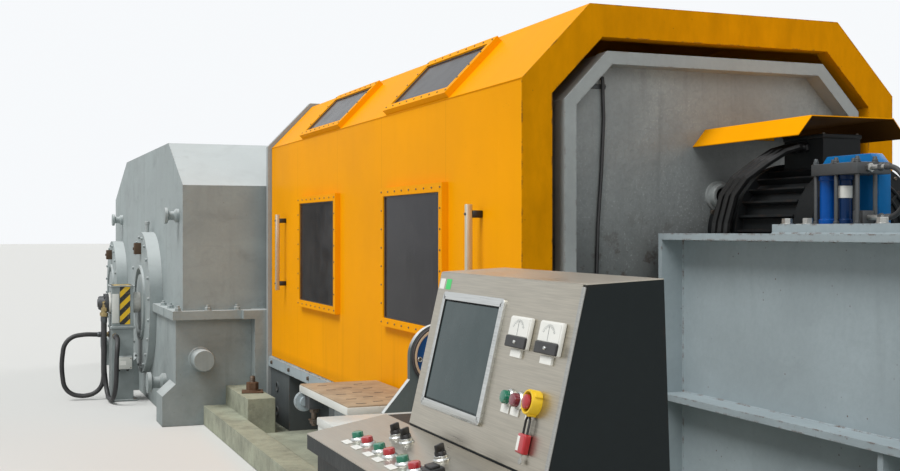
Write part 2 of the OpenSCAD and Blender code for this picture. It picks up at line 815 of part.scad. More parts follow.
mount_x0 = run_x0 + mount_plate_inset;
mount_set = 40;
mount_y0 = -run_bed_front + mount_set;
mount_y1 = run_bed_back - mount_set;
mount_z = run_bed_z + mount_plate_thick;
module bed_mount_plate() {
    color("#9AA5AB") block([mount_x0, mount_y0, run_bed_z], [run_x1, mount_y1, mount_z]);
}

// Clamp unit on the mounting plate: two cylinders, six tie rods, a head plate and a back plate
clamp_set = 30;
clamp_plate_width = 110;
clamp_x0 = mount_x0 + clamp_inset;
clamp_x1 = clamp_x0 + clamp_plate_length;
clamp_y0 = mount_y0 + clamp_set;
clamp_y1 = clamp_y0 + clamp_plate_width;
clamp_head_z = mount_z + clamp_height;
clamp_top_z = clamp_head_z + clamp_plate_thick;
cylinder_y = (clamp_y0 + clamp_y1) / 2;
cylinder_share = 0.82;
cylinder_pitch = 96;
cylinder_x = clamp_x0 + clamp_radius + 4;
tie_r = 8;
tie_inset = 14;
tie_x = [clamp_x0 + tie_inset, (clamp_x0 + clamp_x1) / 2, clamp_x1 - tie_inset];
fitting_r = 14;
fitting_out = 90;
fitting_z0 = mount_z + 24;
fitting_z1 = clamp_head_z + 22;
fitting_block = 60;
fitting_half = 25;
module z_post(x, y, r) {
    translate([x, y, mount_z]) cylinder(r = r, h = clamp_height);
}
module clamp_cylinders() {
    color("#1A6FC4") {
        z_post(cylinder_x, cylinder_y, clamp_radius);
        z_post(cylinder_x + cylinder_pitch, cylinder_y, clamp_radius * cylinder_share);
    }
    color("#55585A") for (x = tie_x, y = [clamp_y0 + tie_inset, clamp_y1 - tie_inset]) z_post(x, y, tie_r);
    color("#8C8F91") {
        block([clamp_x1 - fitting_block, cylinder_y - fitting_half, mount_z],
            [clamp_x1, cylinder_y + fitting_half, mount_z + 2 * fitting_half]);
        translate([0, cylinder_y, fitting_z0]) x_disc(clamp_x1 - e, clamp_x1 + fitting_out, fitting_r);
        translate([0, cylinder_y, fitting_z1]) x_disc(clamp_x1, clamp_x1 + fitting_out, fitting_r);
    }
}

back_plate_gap = 50;
back_plate_y = clamp_y1 + back_plate_gap;
back_plate_thick = 60;
back_plate_z = clamp_top_z + 41;
back_plate_x0 = clamp_x0 - 148;
back_plate_x1 = clamp_x1 - 69;
back_plate_cut = 45;
module clamp_plates() {
    color("#3C4044") block([clamp_x0, clamp_y0, clamp_head_z], [clamp_x1, back_plate_y, clamp_top_z]);
    color("#1E86B4") along_y(back_plate_y, back_plate_thick) polygon([[back_plate_x0, mount_z],
        [back_plate_x1, mount_z], [back_plate_x1, back_plate_z - back_plate_cut],
        [back_plate_x1 - back_plate_cut, back_plate_z], [back_plate_x0 + back_plate_cut, back_plate_z],
        [back_plate_x0, back_plate_z - back_plate_cut]]);
}

// Clamp hose: a half turn from the head plate's fitting down to the lower one
clamp_hose_r = 10;
clamp_hose_x = clamp_x1 + fitting_out;
clamp_hose_lead = 12;
clamp_hose_turn = (fitting_z1 - fitting_z0) / 2;
clamp_hose_mid = (fitting_z1 + fitting_z0) / 2;
clamp_hose_route = concat([[clamp_hose_x, cylinder_y, fitting_z1]],
    [for (t = [0:20:180]) [clamp_hose_x + clamp_hose_lead + clamp_hose_turn * sin(t), cylinder_y,
        clamp_hose_mid + clamp_hose_turn * cos(t)]],
    [[clamp_hose_x, cylinder_y, fitting_z0]]);
module clamp_hose() {
    color("#141516") tube(clamp_hose_route, clamp_hose_r);
}

// Side table on its pedestal
table_x1 = hood_x1 - table_inset;
table_x0 = table_x1 - table_length;
table_gap = 16;
table_y1 = -half_w - table_gap;
table_y0 = table_y1 - table_width;
pedestal_x0 = table_x0 + 120;
pedestal_x1 = table_x1 - 60;
pedestal_y0 = table_y0 + 180;
module side_table() {
    color("#A98F73") block([table_x0, table_y0, table_z - table_thick], [table_x1, table_y1, table_z]);
    color("#7F8B90") block([pedestal_x0, pedestal_y0, slab_thick],
        [pedestal_x1, -rail_y1, table_z - table_thick]);
}

// Guide wheel bracket: a block at the table's end and an upright plate with a round top
wheel_inset = 790;
wheel_x = table_x1 + wheel_inset;
wheel_y = table_y1 - 262;
wheel_z = table_z + wheel_rise;
wheel_thick = 28;
wheel_gap = 6;
wheel_rim = 7;
wheel_groove = 10;
wheel_x0 = wheel_x - wheel_thick / 2;
plate_thick = 34;
plate_x1 = wheel_x0 - wheel_gap;
plate_x0 = plate_x1 - plate_thick;
plate_y0 = wheel_y - guard_radius;
plate_y1 = wheel_y + guard_radius;
neck_drop = 103;
foot_out_y = wheel_y - 278;
foot_top_z = table_z + 74;
foot_low_z = table_z - 12;
block_y0 = table_y1 - 203;
block_low_z = table_z - 290;
axle_r = 18;
axle_end = 12;
module plate_side() {
    translate([wheel_y, wheel_z]) circle(r = guard_radius);
    polygon([[plate_y0, wheel_z], [plate_y0, wheel_z - neck_drop], [foot_out_y, foot_top_z],
        [foot_out_y, foot_low_z], [block_y0, block_low_z], [block_y0, slab_thick],
        [plate_y1, slab_thick], [plate_y1, wheel_z]]);
}
module wheel_bracket() {
    color("#7A8488") {
        block([table_x1, block_y0, slab_thick], [plate_x0 + e, -rail_y1, table_z]);
        along_x(plate_x0, plate_thick) plate_side();
        translate([0, wheel_y, wheel_z]) x_disc(plate_x1 - e, wheel_x0 + wheel_thick + axle_end, axle_r);
    }
}

module guide_wheel() {
    seat = axle_r + touch_gap;
    color("#1C4E86") translate([wheel_x0, wheel_y, wheel_z]) rotate([0, 90, 0])
        rotate_extrude($fn = 96) polygon([[seat, 0], [wheel_radius, 0], [wheel_radius, wheel_rim],
            [wheel_radius - wheel_groove, wheel_thick / 2 - wheel_rim / 2],
            [wheel_radius - wheel_groove, wheel_thick / 2 + wheel_rim / 2],
            [wheel_radius, wheel_thick - wheel_rim], [wheel_radius, wheel_thick], [seat, wheel_thick]]);
}

// Anchor bolts on the piers and along the kerbs
anchor_inset = 500;
anchor_set = 120;
anchor_x = crank_x1 + anchor_inset;
anchor_y = kerb_outer - kerb_width - anchor_set;
washer_size = 170;
washer_thick = 12;
nut_af = 85;
nut_height = 70;
stud_r = 24;
stud_height = 120;
module anchor_bolts() {
    color("#5A4A3A") both_sides() translate([anchor_x, anchor_y, pier_height]) {
        translate([-washer_size / 2, -washer_size / 2, 0]) cube([washer_size, washer_size, washer_thick]);
        translate([0, 0, washer_thick]) cylinder(r = nut_af / 2 / cos(30), h = nut_height, $fn = 6);
        translate([0, 0, washer_thick]) cylinder(r = stud_r, h = stud_height);
    }
}

// Hood side wall with its window openings
window_x1 = [for (k = [0, 1]) hood_x1 - window_inset - k * window_pitch];
sheet_x0 = hood_x0 + hood_sheet;
sheet_x1 = hood_x1 - hood_sheet;
module side_opening(x1) {
    block([x1 - window_length + frame_band, half_w - hood_sheet - e, window_z + frame_band],
        [x1 - frame_band, half_w + e, window_z + window_height - frame_band]);
}
module hood_side() {
    difference() {
        block([sheet_x0, half_w - hood_sheet, hood_sill_z], [sheet_x1, half_w, in_shoulder(0)]);
        for (x1 = window_x1) side_opening(x1);
    }
}

module hood_side_front() {
    color("#F5A300") mirror([0, 1, 0]) hood_side();
}

module hood_side_back() {
    color("#F5A300") hood_side();
}

// Moves a piece drawn flat, with Y up the slope and Z outwards, onto the sloped roof
module on_slope() {
    translate([0, half_w, shoulder_z]) rotate([90 + slope_turn, 0, 0]) mirror([0, 0, 1]) children();
}
roof_margin = 6;
roof_window_top = roof_margin + roof_window_rise;
module roof_opening(x1) {
    on_slope() block([x1 - window_length + frame_band, roof_margin + frame_band, -hood_sheet - e],
        [x1 - frame_band, roof_window_top - frame_band, e]);
}
module hood_slope() {
    difference() {
        along_x(sheet_x0, sheet_x1 - sheet_x0) polygon([[half_w, in_shoulder(0)], [corner_y, in_roof(0)],
            [in_corner(hood_sheet), in_roof(hood_sheet)], [in_w(hood_sheet), in_shoulder(hood_sheet)],
            [in_w(hood_sheet), in_shoulder(0)]]);
        for (x1 = window_x1) roof_opening(x1);
    }
}

module hood_roof_front() {
    color("#F5A300") mirror([0, 1, 0]) hood_slope();
}

module hood_roof_back() {
    color("#F5A300") hood_slope();
}

module hood_roof_top() {
    color("#F5A300") along_x(sheet_x0, sheet_x1 - sheet_x0) polygon([[-corner_y, roof_z], [corner_y, roof_z],
        [in_corner(hood_sheet), in_roof(hood_sheet)], [-in_corner(hood_sheet), in_roof(hood_sheet)]]);
}

// End ring: a face band and a return inside the sheets
module hood_band(x_face, dir, band, depth) {
    x0 = min(x_face, x_face - dir * hood_sheet);
    along_x(x0, hood_sheet) difference() {
        polygon(arch(0, hood_sill_z));
        polygon(arch(band, hood_sill_z - e));
    }
    along_x(min(x_face - dir * e, x_face - dir * depth), depth - e) difference() {
        polygon(arch(band - hood_sheet, hood_sill_z));
        polygon(arch(band, hood_sill_z - e));
    }
}

module hood_end_ring() {
    color("#E59400") hood_band(hood_x1, 1, ring_band, ring_depth);
}

module hood_far_ring() {
    color("#E59400") hood_band(hood_x0, -1, far_band, ring_depth / 2);
}

// Pull handles near both ends of both sides
handle_bar = [25, 33];
handle_block = 36;
handle_x = [hood_x1 - handle_inset, hood_x0 + handle_inset + 25];
block_share = [0.09, 0.92];
module hood_handles() {
    color("#C9C3B2") both_sides() for (x = handle_x) {
        block([x - handle_bar.x / 2, half_w + handle_reach, handle_z],
            [x + handle_bar.x / 2, half_w + handle_reach + handle_bar.y, handle_z + handle_length]);
        for (z = [for (share = block_share) handle_z + share * handle_length])
            block([x - handle_block / 2, half_w, z - handle_block / 2],
                [x + handle_block / 2, half_w + handle_reach + e, z + handle_block / 2]);
    }
}

// Window frames: hollow boxes that stand out from the sheet, open at the pane
module frame_box(x1, y0, y1) {
    difference() {
        block([x1 - window_length, y0, 0], [x1, y1, frame_proud]);
        block([x1 - window_length + frame_band, y0 + frame_band, -e],
            [x1 - frame_band, y1 - frame_band, frame_proud + e]);
    }
}
module window_frames() {
    color("#F0A010") both_sides() for (x1 = window_x1) {
        translate([0, half_w, window_z]) rotate([90, 0, 0]) mirror([0, 0, 1]) frame_box(x1, 0, window_height);
        on_slope() frame_box(x1, roof_margin, roof_window_top);
    }
}

// Panes sit inside the frames, a little behind their faces
pane_set = 12;
module pane_plate(x1, y0, y1) {
    block([x1 - window_length + frame_band, y0 + frame_band, frame_proud - pane_set - pane_thick],
        [x1 - frame_band, y1 - frame_band, frame_proud - pane_set]);
}
module window_panes() {
    color("#4A4650") both_sides() for (x1 = window_x1) {
        translate([0, half_w, window_z]) rotate([90, 0, 0]) mirror([0, 0, 1]) pane_plate(x1, 0, window_height);
        on_slope() pane_plate(x1, roof_margin, roof_window_top);
    }
}

// Desk
desk_x1 = desk_x + desk_length;
desk_x0 = desk_x - wing_length;
back_slant = 15;
top_depth = 184;
top_rise = 9;
panel_top_y = -desk_back - back_slant;
panel_foot_y = panel_top_y - top_depth - panel_rise * sin(panel_slant);
panel_top_z = panel_foot_z + panel_rise * cos(panel_slant);
lip_y = panel_foot_y - shelf_depth * cos(shelf_slope);
lip_z = panel_foot_z - shelf_depth * sin(shelf_slope);
desk_plate = 3;
side_plate = 12;
lip_in = 30;
lip_height = 40;
lip_fall = 60;
shelf_joint = 4;
panel_joint = 6;

// Shelf plane: X along the desk, Y up the slope, Z out of it
module on_shelf() {
    translate([desk_x, lip_y, lip_z]) rotate([shelf_slope, 0, 0]) children();
}

// Panel plane: X along the desk, Y up the slant, Z out of it
module on_panel() {
    translate([desk_x, panel_foot_y, panel_foot_z]) rotate([90 - panel_slant, 0, 0]) children();
}

module desk_base() {
    color("#33393D") along_x(desk_x0, desk_x1 - desk_x0) polygon([[lip_y + lip_in, 0], [-desk_back, 0],
        [-desk_back, panel_foot_z], [panel_foot_y, panel_foot_z], [lip_y, lip_z],
        [lip_y, lip_z - lip_height], [lip_y + lip_in, lip_z - lip_fall]]);
}

module desk_shelf() {
    color("#B8BABB") on_shelf() block([-wing_length, 0, 0], [desk_length, shelf_depth - shelf_joint,
        desk_plate]);
}

module desk_head() {
    color("#33393D") along_x(desk_x, desk_length) polygon([[panel_foot_y, panel_foot_z],
        [-desk_back, panel_foot_z], [panel_top_y, panel_top_z + top_rise],
        [panel_foot_y + panel_rise * sin(panel_slant), panel_top_z]]);
}

module desk_front_plate() {
    color("#C0C2C3") on_panel() block([0, panel_joint, 0],
        [desk_length - side_plate, panel_rise, desk_plate]);
}

side_box_top = 1060;
side_box_y = [-desk_back - 425, -desk_back - 95];
module desk_side_box() {
    color("#C9CDCB") block([desk_x0 - side_box_length, side_box_y[0], 0],
        [desk_x0, side_box_y[1], side_box_top]);
}

// Screen: a bezel with its glass
screen_u = 66;
screen_v = 64;
screen_size = [396, 304];
bezel_thick = 8;
bezel_band = 22;
glass_set = 3;
module desk_screen() {
    color("#C9CBCC") on_panel() translate([screen_u, screen_v, desk_plate]) difference() {
        cube([screen_size.x, screen_size.y, bezel_thick]);
        translate([bezel_band, bezel_band, bezel_thick - glass_set])
            cube([screen_size.x - 2 * bezel_band, screen_size.y - 2 * bezel_band, glass_set + e]);
    }
}

// Meters, push buttons, stop button and padlock
meter_size = [105, 72, 16];
meter_u = [529, 684];
meter_v = 261;
button_r = 15;
button_out = 22;
shelf_button_u = [34, 117, 217, 293, 392, 474];
shelf_button_v = 81;
knob_u = [120, 197, 442];
knob_v = 158;
knob_out = 38;
stop_u = 722;
stop_v = 155;
stop_r = 28;
stop_out = 33;
panel_button_u = [588, 640];
panel_button_v = 150;
lock_size = [36, 43, 17];
lock_u = 698;
lock_v = 44;
switch_size = [56, 40, 24];
switch_u = 520;
switch_v = 78;
module button(u, v, r, out) {
    translate([u, v, desk_plate]) cylinder(r = r, h = out);
}
module desk_controls() {
    color("#202224") on_panel() {
        for (u = meter_u) translate([u, meter_v, desk_plate]) cube(meter_size);
        for (u = panel_button_u) button(u, panel_button_v, button_r, button_out);
        button(stop_u, stop_v, stop_r, stop_out);
        translate([lock_u, lock_v, desk_plate]) cube(lock_size);
    }
    color("#202224") on_shelf() {
        for (u = shelf_button_u) button(u, shelf_button_v, button_r, button_out);
        for (u = knob_u) button(u, knob_v, button_r, knob_out);
        translate([switch_u, switch_v, desk_plate]) cube(switch_size);
    }
}

foundation();
crank_housing_base();
split_flange();
crank_housing_cover();
bearing_covers();
lifting_trunnions();
side_boss();
union_bracket();
rotary_union();
union_hose_a();
union_hose_b();
mill_bed();
hood_rails();
rail_columns();
portal_frame();
roll_stand();
working_rolls();
connecting_rods();
end_housing();
end_trim();
plate_cable();
drive_motor();
motor_cables();
motor_canopy();
bed_girders();
bed_end_plates();
bed_mount_plate();
clamp_cylinders();
clamp_plates();
clamp_hose();
side_table();
wheel_bracket();
anchor_bolts();
hood_side_front();
hood_side_back();
hood_roof_front();
hood_roof_back();
hood_roof_top();
hood_end_ring();
hood_far_ring();
hood_handles();
window_frames();
window_panes();
guide_wheel();
desk_base();
desk_shelf();
desk_head();
desk_front_plate();
desk_side_box();
desk_screen();
desk_controls();
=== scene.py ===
"""Rolling mill stand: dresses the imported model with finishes, fasteners, hoses and controls."""
import math

import bmesh
import bpy
from bpy.props import FloatProperty, FloatVectorProperty, IntProperty
from bpy.types import NodeSocket, Operator, Panel, PropertyGroup
from mathutils import Matrix, Vector


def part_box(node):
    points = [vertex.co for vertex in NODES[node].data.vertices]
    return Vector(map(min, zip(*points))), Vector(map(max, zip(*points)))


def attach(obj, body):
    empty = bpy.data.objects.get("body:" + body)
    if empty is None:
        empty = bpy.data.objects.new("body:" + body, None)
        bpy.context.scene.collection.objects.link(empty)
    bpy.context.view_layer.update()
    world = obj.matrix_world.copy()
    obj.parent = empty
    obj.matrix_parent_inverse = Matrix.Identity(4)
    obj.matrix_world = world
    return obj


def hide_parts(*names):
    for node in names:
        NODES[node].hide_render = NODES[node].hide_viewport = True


bl_info = {
    "name": "Rolling Mill Stand",
    "version": (1, 0, 0),
    "blender": (4, 5, 0),
    "location": "View3D > Sidebar > Mill Stand",
    "description": "Builds the finishes and fittings of a tube rolling mill stand",
    "category": "Object",
}

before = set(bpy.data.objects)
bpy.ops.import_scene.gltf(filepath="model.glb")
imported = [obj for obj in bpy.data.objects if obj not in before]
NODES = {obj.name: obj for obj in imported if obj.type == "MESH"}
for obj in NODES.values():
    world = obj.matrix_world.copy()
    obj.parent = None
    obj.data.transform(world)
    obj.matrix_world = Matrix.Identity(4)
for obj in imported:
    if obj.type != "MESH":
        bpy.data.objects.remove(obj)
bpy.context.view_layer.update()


def card(red, green, blue):
    """A colour read off a paint card, 0 to 255, as linear values."""
    parts = (red / 255, green / 255, blue / 255)
    return tuple(p / 12.92 if p < 0.04045 else ((p + 0.055) / 1.055) ** 2.4 for p in parts)


# Places that the pieces share, from the frame
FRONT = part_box("hood_side_front")
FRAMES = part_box("window_frames")
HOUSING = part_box("crank_housing_cover")
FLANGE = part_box("split_flange")
END_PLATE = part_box("end_housing")
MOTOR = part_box("drive_motor")
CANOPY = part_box("motor_canopy")
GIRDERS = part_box("bed_girders")
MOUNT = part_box("bed_mount_plate")
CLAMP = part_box("clamp_plates")
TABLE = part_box("side_table")
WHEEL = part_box("guide_wheel")
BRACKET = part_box("union_bracket")
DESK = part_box("desk_head")
DESK_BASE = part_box("desk_base")
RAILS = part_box("hood_rails")
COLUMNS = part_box("rail_columns")
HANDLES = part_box("hood_handles")
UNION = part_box("rotary_union")
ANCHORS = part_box("anchor_bolts")
SIDE_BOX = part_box("desk_side_box")
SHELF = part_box("desk_shelf")
SHELF_LIP = (SHELF[0][1] + 0.0005, SHELF[0][2])
HOUSING_X = HOUSING[1][0]
MIDDLE_FLANGE = 0.85
CLAMP_HEAD = (1.834, 1.879)


# What a user may change

def colour(name, description, default):
    """A colour that a user may change."""
    return FloatVectorProperty(
        name=name, description=description, default=default, subtype="COLOR", min=0.0, max=1.0)


def number(name, description, default, **more):
    """A number that a user may change."""
    return FloatProperty(name=name, description=description, default=default, **more)


def length(name, description, default):
    """A size in metres that a user may change."""
    return number(name, description, default, unit="LENGTH", precision=4)


class MillColours(PropertyGroup):
    """Colours of the mill's paints and metals."""
    hood: colour("Hood", "Paint of the sliding hood", card(238, 158, 6))
    housing: colour("Housing", "Paint of the crank housing", card(150, 159, 159))
    plate: colour("End plate", "Paint of the end plate and portal", card(158, 163, 162))
    bed: colour("Bed", "Paint of the run-out bed", card(157, 169, 173))
    column: colour("Columns", "Paint of the columns and the mill bed", card(88, 95, 97))
    concrete: colour("Concrete", "Floor works", card(164, 168, 148))
    table: colour("Table", "Bare steel of the side table", card(176, 158, 132))
    steel: colour("Steel", "Machined steel", card(168, 168, 164))
    stainless: colour("Stainless", "Brushed sheet of the desk", card(176, 170, 157))
    charcoal: colour("Charcoal", "Paint of the desk's body", card(26, 32, 33))
    motor: colour("Motor", "Paint of the drive motor", card(28, 30, 31))
    rust: colour("Rust", "Rust and old oil", card(92, 62, 42))
    brass: colour("Brass", "Hose fittings", card(168, 150, 108))
    clamp: colour("Clamp", "Paint of the clamp's plates", card(0, 104, 166))
    wheel: colour("Wheel", "Paint of the guide wheel", card(28, 78, 134))
    grime: colour("Grime", "Dirt that gathers on the paint", card(56, 54, 50))
    floor: colour("Floor", "Plain floor around the mill", card(206, 206, 203))


class MillSizes(PropertyGroup):
    """Sizes of the fasteners and small fittings."""
    flange_bolt: length("Flange bolt", "Across the flats of the housing's flange bolts", 0.046)
    cover_bolt: length("Cover bolt", "Across the flats of the bearing covers' bolts", 0.024)
    bed_bolt: length("Bed bolt", "Across the flats of the mounting plate's bolts", 0.036)
    frame_screw: length("Window screw", "Head of a window frame's screw", 0.0105)
    screw_pitch: length("Screw pitch", "Distance between a window frame's screws", 0.125)
    bolt_pitch: length("Bolt pitch", "Distance between the flange bolts", 0.43)
    cover_bolts: IntProperty(name="Cover bolts", description="Bolts round a bearing cover",
                             default=20, min=8, max=32)
    weld_bead: length("Weld bead", "Radius of a weld bead", 0.005)


class MillLight(PropertyGroup):
    """Light and camera of the stage."""
    front: number("Front light", "Strength of the soft light at the front", 2.7)
    end: number("End light", "Strength of the soft light at the run-out end", 0.6)
    back: number("Back light", "Strength of the soft light behind the mill", 0.4)
    fill: number("Fill", "Strength of the even light of the room", 0.34)
    softness: number("Softness", "How wide each light looks from the mill", math.radians(32),
                     subtype="ANGLE", unit="ROTATION")
    lens: number("Lens", "Focal length of the camera", 48.12, unit="CAMERA")


# Finishes

FINISHES = {}
EVEN = (1.0, 1.0, 1.0)
# Near-white laid on upward faces: dust, and partly a painted highlight of their tops.
DUST_AND_TOP_LIGHT = card(232, 236, 235)
EDGE_SAMPLES = 4
SEAM_HALF = 0.0012
HOOD_SEAMS = (-0.95, -2.03, -3.0, -4.1)


class Finish:
    """The node tree of one finish. Patterns are in metres on the piece's own coordinates."""

    def __init__(self, name, base, roughness=0.5, **sockets):
        self.material = bpy.data.materials.new(name)
        self.material.use_nodes = True
        FINISHES[name] = self.material
        self.nodes = self.material.node_tree.nodes
        self.links = self.material.node_tree.links
        self.shader = self.nodes["Principled BSDF"]
        self.place = self.node("TexCoord").outputs["Object"]
        self.tone = base
        self.settle(roughness)
        for socket, value in sockets.items():
            self.feed(self.shader.inputs[socket.replace("_", " ")], value)

    def node(self, kind, **settings):
        made = self.nodes.new("ShaderNode" + kind)
        for key, value in settings.items():
            setattr(made, key, value)
        return made

    def feed(self, socket, value):
        """Links a socket, or sets a constant on it."""
        if isinstance(value, NodeSocket):
            self.links.new(value, socket)
        elif socket.type == "RGBA":
            socket.default_value = (*value[:3], 1.0)
        else:
            socket.default_value = value

    def fill(self, made, **inputs):
        """Feeds a node's inputs by name."""
        for socket, value in inputs.items():
            self.feed(made.inputs[socket.replace("_", " ")], value)
        return made

    def mapped(self, stretch, offset):
        shift = (offset, offset * 0.7, offset * 0.3)
        made = self.fill(self.node("Mapping"), Vector=self.place, Scale=stretch, Location=shift)
        return made.outputs["Vector"]

    def noise(self, scale, detail=3.0, stretch=EVEN, offset=0.0, rough=0.5, warp=0.0):
        """Cloudy noise with about that many cells in a metre."""
        made = self.fill(self.node("TexNoise"), Vector=self.mapped(stretch, offset), Scale=scale,
                         Detail=detail, Roughness=rough, Distortion=warp)
        return made.outputs[0]

    def cells(self, scale, offset):
        """Distance to the nearest of scattered points."""
        made = self.fill(self.node("TexVoronoi"), Vector=self.mapped(EVEN, offset), Scale=scale)
        return made.outputs["Distance"]

    def ramp(self, value, low, high, bottom=0.0, top=1.0):
        """Maps low to high onto bottom to top, and holds it there."""
        made = self.fill(self.node("MapRange"), Value=value, From_Min=low, From_Max=high,
                         To_Min=bottom, To_Max=top)
        return made.outputs["Result"]

    def math(self, operation, a, b=0.0):
        made = self.node("Math", operation=operation)
        self.feed(made.inputs[0], a)
        self.feed(made.inputs[1], b)
        return made.outputs[0]

    def times(self, a, b):
        return self.math("MULTIPLY", a, b)

    def plus(self, a, b):
        return self.math("ADD", a, b)

    def mix(self, factor, a, b):
        made = self.node("Mix", data_type="RGBA")
        self.feed(made.inputs["Factor"], factor)
        self.feed(made.inputs[6], a)
        self.feed(made.inputs[7], b)
        return made.outputs[2]

    def over(self, factor, colour):
        """Lays a colour over the tone so far, as far as a factor says."""
        self.tone = self.mix(factor, self.tone, colour)

    def clouded(self, pattern, low, high, dark, light):
        """Sets the tone to run from a darker to a lighter shade of itself along a pattern."""
        self.tone = self.mix(self.ramp(pattern, low, high), shade(self.tone, dark), shade(self.tone, light))

    def parts(self, vector):
        return self.fill(self.node("SeparateXYZ"), Vector=vector).outputs

    def axis(self, name):
        """One coordinate of the place, X, Y or Z."""
        return self.parts(self.place)[name]

    def seam(self, x):
        """1 on a seam across the mill at x, 0 elsewhere."""
        away = self.math("ABSOLUTE", self.math("SUBTRACT", self.axis("X"), x))
        return self.ramp(away, SEAM_HALF + 0.001, SEAM_HALF)

    def normal(self):
        return self.node("NewGeometry").outputs["Normal"]

    def facing(self):
        """Upright part of the surface's direction."""
        return self.parts(self.normal())["Z"]

    def eased(self, radius):
        """The surface's direction with its sharp edges softened."""
        return self.fill(self.node("Bevel", samples=EDGE_SAMPLES), Radius=radius).outputs["Normal"]

    def edges(self, radius):
        """1 along the part's outer edges, 0 on its faces."""
        dot = self.node("VectorMath", operation="DOT_PRODUCT")
        self.feed(dot.inputs[0], self.eased(radius))
        self.feed(dot.inputs[1], self.normal())
        return self.ramp(dot.outputs["Value"], 0.995, 0.9)

    def bump(self, height, distance, strength=1.0, soft_edge=0.0):
        """Raises the surface by a height of distance metres, with its sharp edges softened."""
        made = self.fill(self.node("Bump"), Height=height, Distance=distance, Strength=strength)
        if soft_edge:
            self.feed(made.inputs["Normal"], self.eased(soft_edge))
        self.feed(self.shader.inputs["Normal"], made.outputs["Normal"])

    def settle(self, roughness):
        """Gives the shader its colour and roughness."""
        self.fill(self.shader, Base_Color=self.tone, Roughness=roughness)


def shade(base, factor):
    """The colour made darker or lighter."""
    return tuple(min(1.0, part * factor) for part in base[:3])


def picked(paints, base):
    """A colour as it is, or the one a user may change by that name."""
    return tuple(getattr(paints, base)) if isinstance(base, str) else base


def worn_paint(paints, name, base, wear, gloss, dirt=0.35, spots=0.0, low=0.0, dust=0.0, grime="grime"):
    """Machine paint: clouds, runs of dirt, chips along edges, and darker towards the floor; near-white on
    upward faces, partly dust and partly painted light.
    """
    base, grime, rust = (picked(paints, paint) for paint in (base, grime, "rust"))
    f = Finish(name, base, IOR=1.25)
    clouds, fine = f.noise(1.6, 5.0, rough=0.6), f.noise(38.0, 4.0, rough=0.6)
    f.clouded(clouds, 0.3, 0.72, 0.84, 1.1)
    f.over(f.ramp(fine, 0.35, 0.75, 0.0, 0.35), shade(base, 0.8))
    runs = f.times(f.ramp(f.noise(9.0, 5.0, (1.0, 1.0, 0.09), 3.0), 0.58, 0.82), f.ramp(clouds, 0.42, 0.62))
    f.over(f.times(runs, dirt), grime)
    rubs = f.noise(2.6, 6.0, (1.0, 1.0, 1.7), 6.0, 0.62, 0.9)
    f.over(f.ramp(rubs, 0.52, 0.72, 0.0, dirt * 0.6), shade(base, 0.5))
    wiped = f.noise(3.7, 4.0, (0.5, 0.5, 1.5), 11.0)
    f.over(f.ramp(wiped, 0.56, 0.74, 0.0, dirt * 0.5), shade(base, 1.25))
    if spots:
        specks = f.ramp(f.cells(23.0, 1.7), 0.11, 0.05, 0.0, spots)
        f.over(f.times(specks, f.ramp(f.noise(2.4, 2.0, offset=5.0), 0.5, 0.62)), rust)
    # Upward faces turn near-white: dust, and partly painted light on the tops.
    if dust:
        f.over(f.ramp(f.facing(), 0.25, 0.7, 0.0, dust), DUST_AND_TOP_LIGHT)
    if low:
        patchy = f.ramp(f.noise(4.0, 5.0, offset=2.0), 0.3, 0.65, 0.4, 1.0)
        f.over(f.times(f.ramp(f.axis("Z"), low, 0.0, 0.0, 0.6), patchy), shade(grime, 1.3))
    chips = f.ramp(f.noise(17.0, 6.0, offset=8.0, rough=0.7), 0.5, 0.6)
    f.over(f.times(f.times(f.edges(0.014), chips), wear), rust)
    f.settle(f.ramp(f.plus(clouds, f.times(runs, 0.5)), 0.3, 1.0, gloss, gloss + 0.25))
    f.bump(f.plus(fine, f.times(f.noise(7.0, 3.0, offset=4.0), 1.5)), 0.0016, 0.6, 0.003)


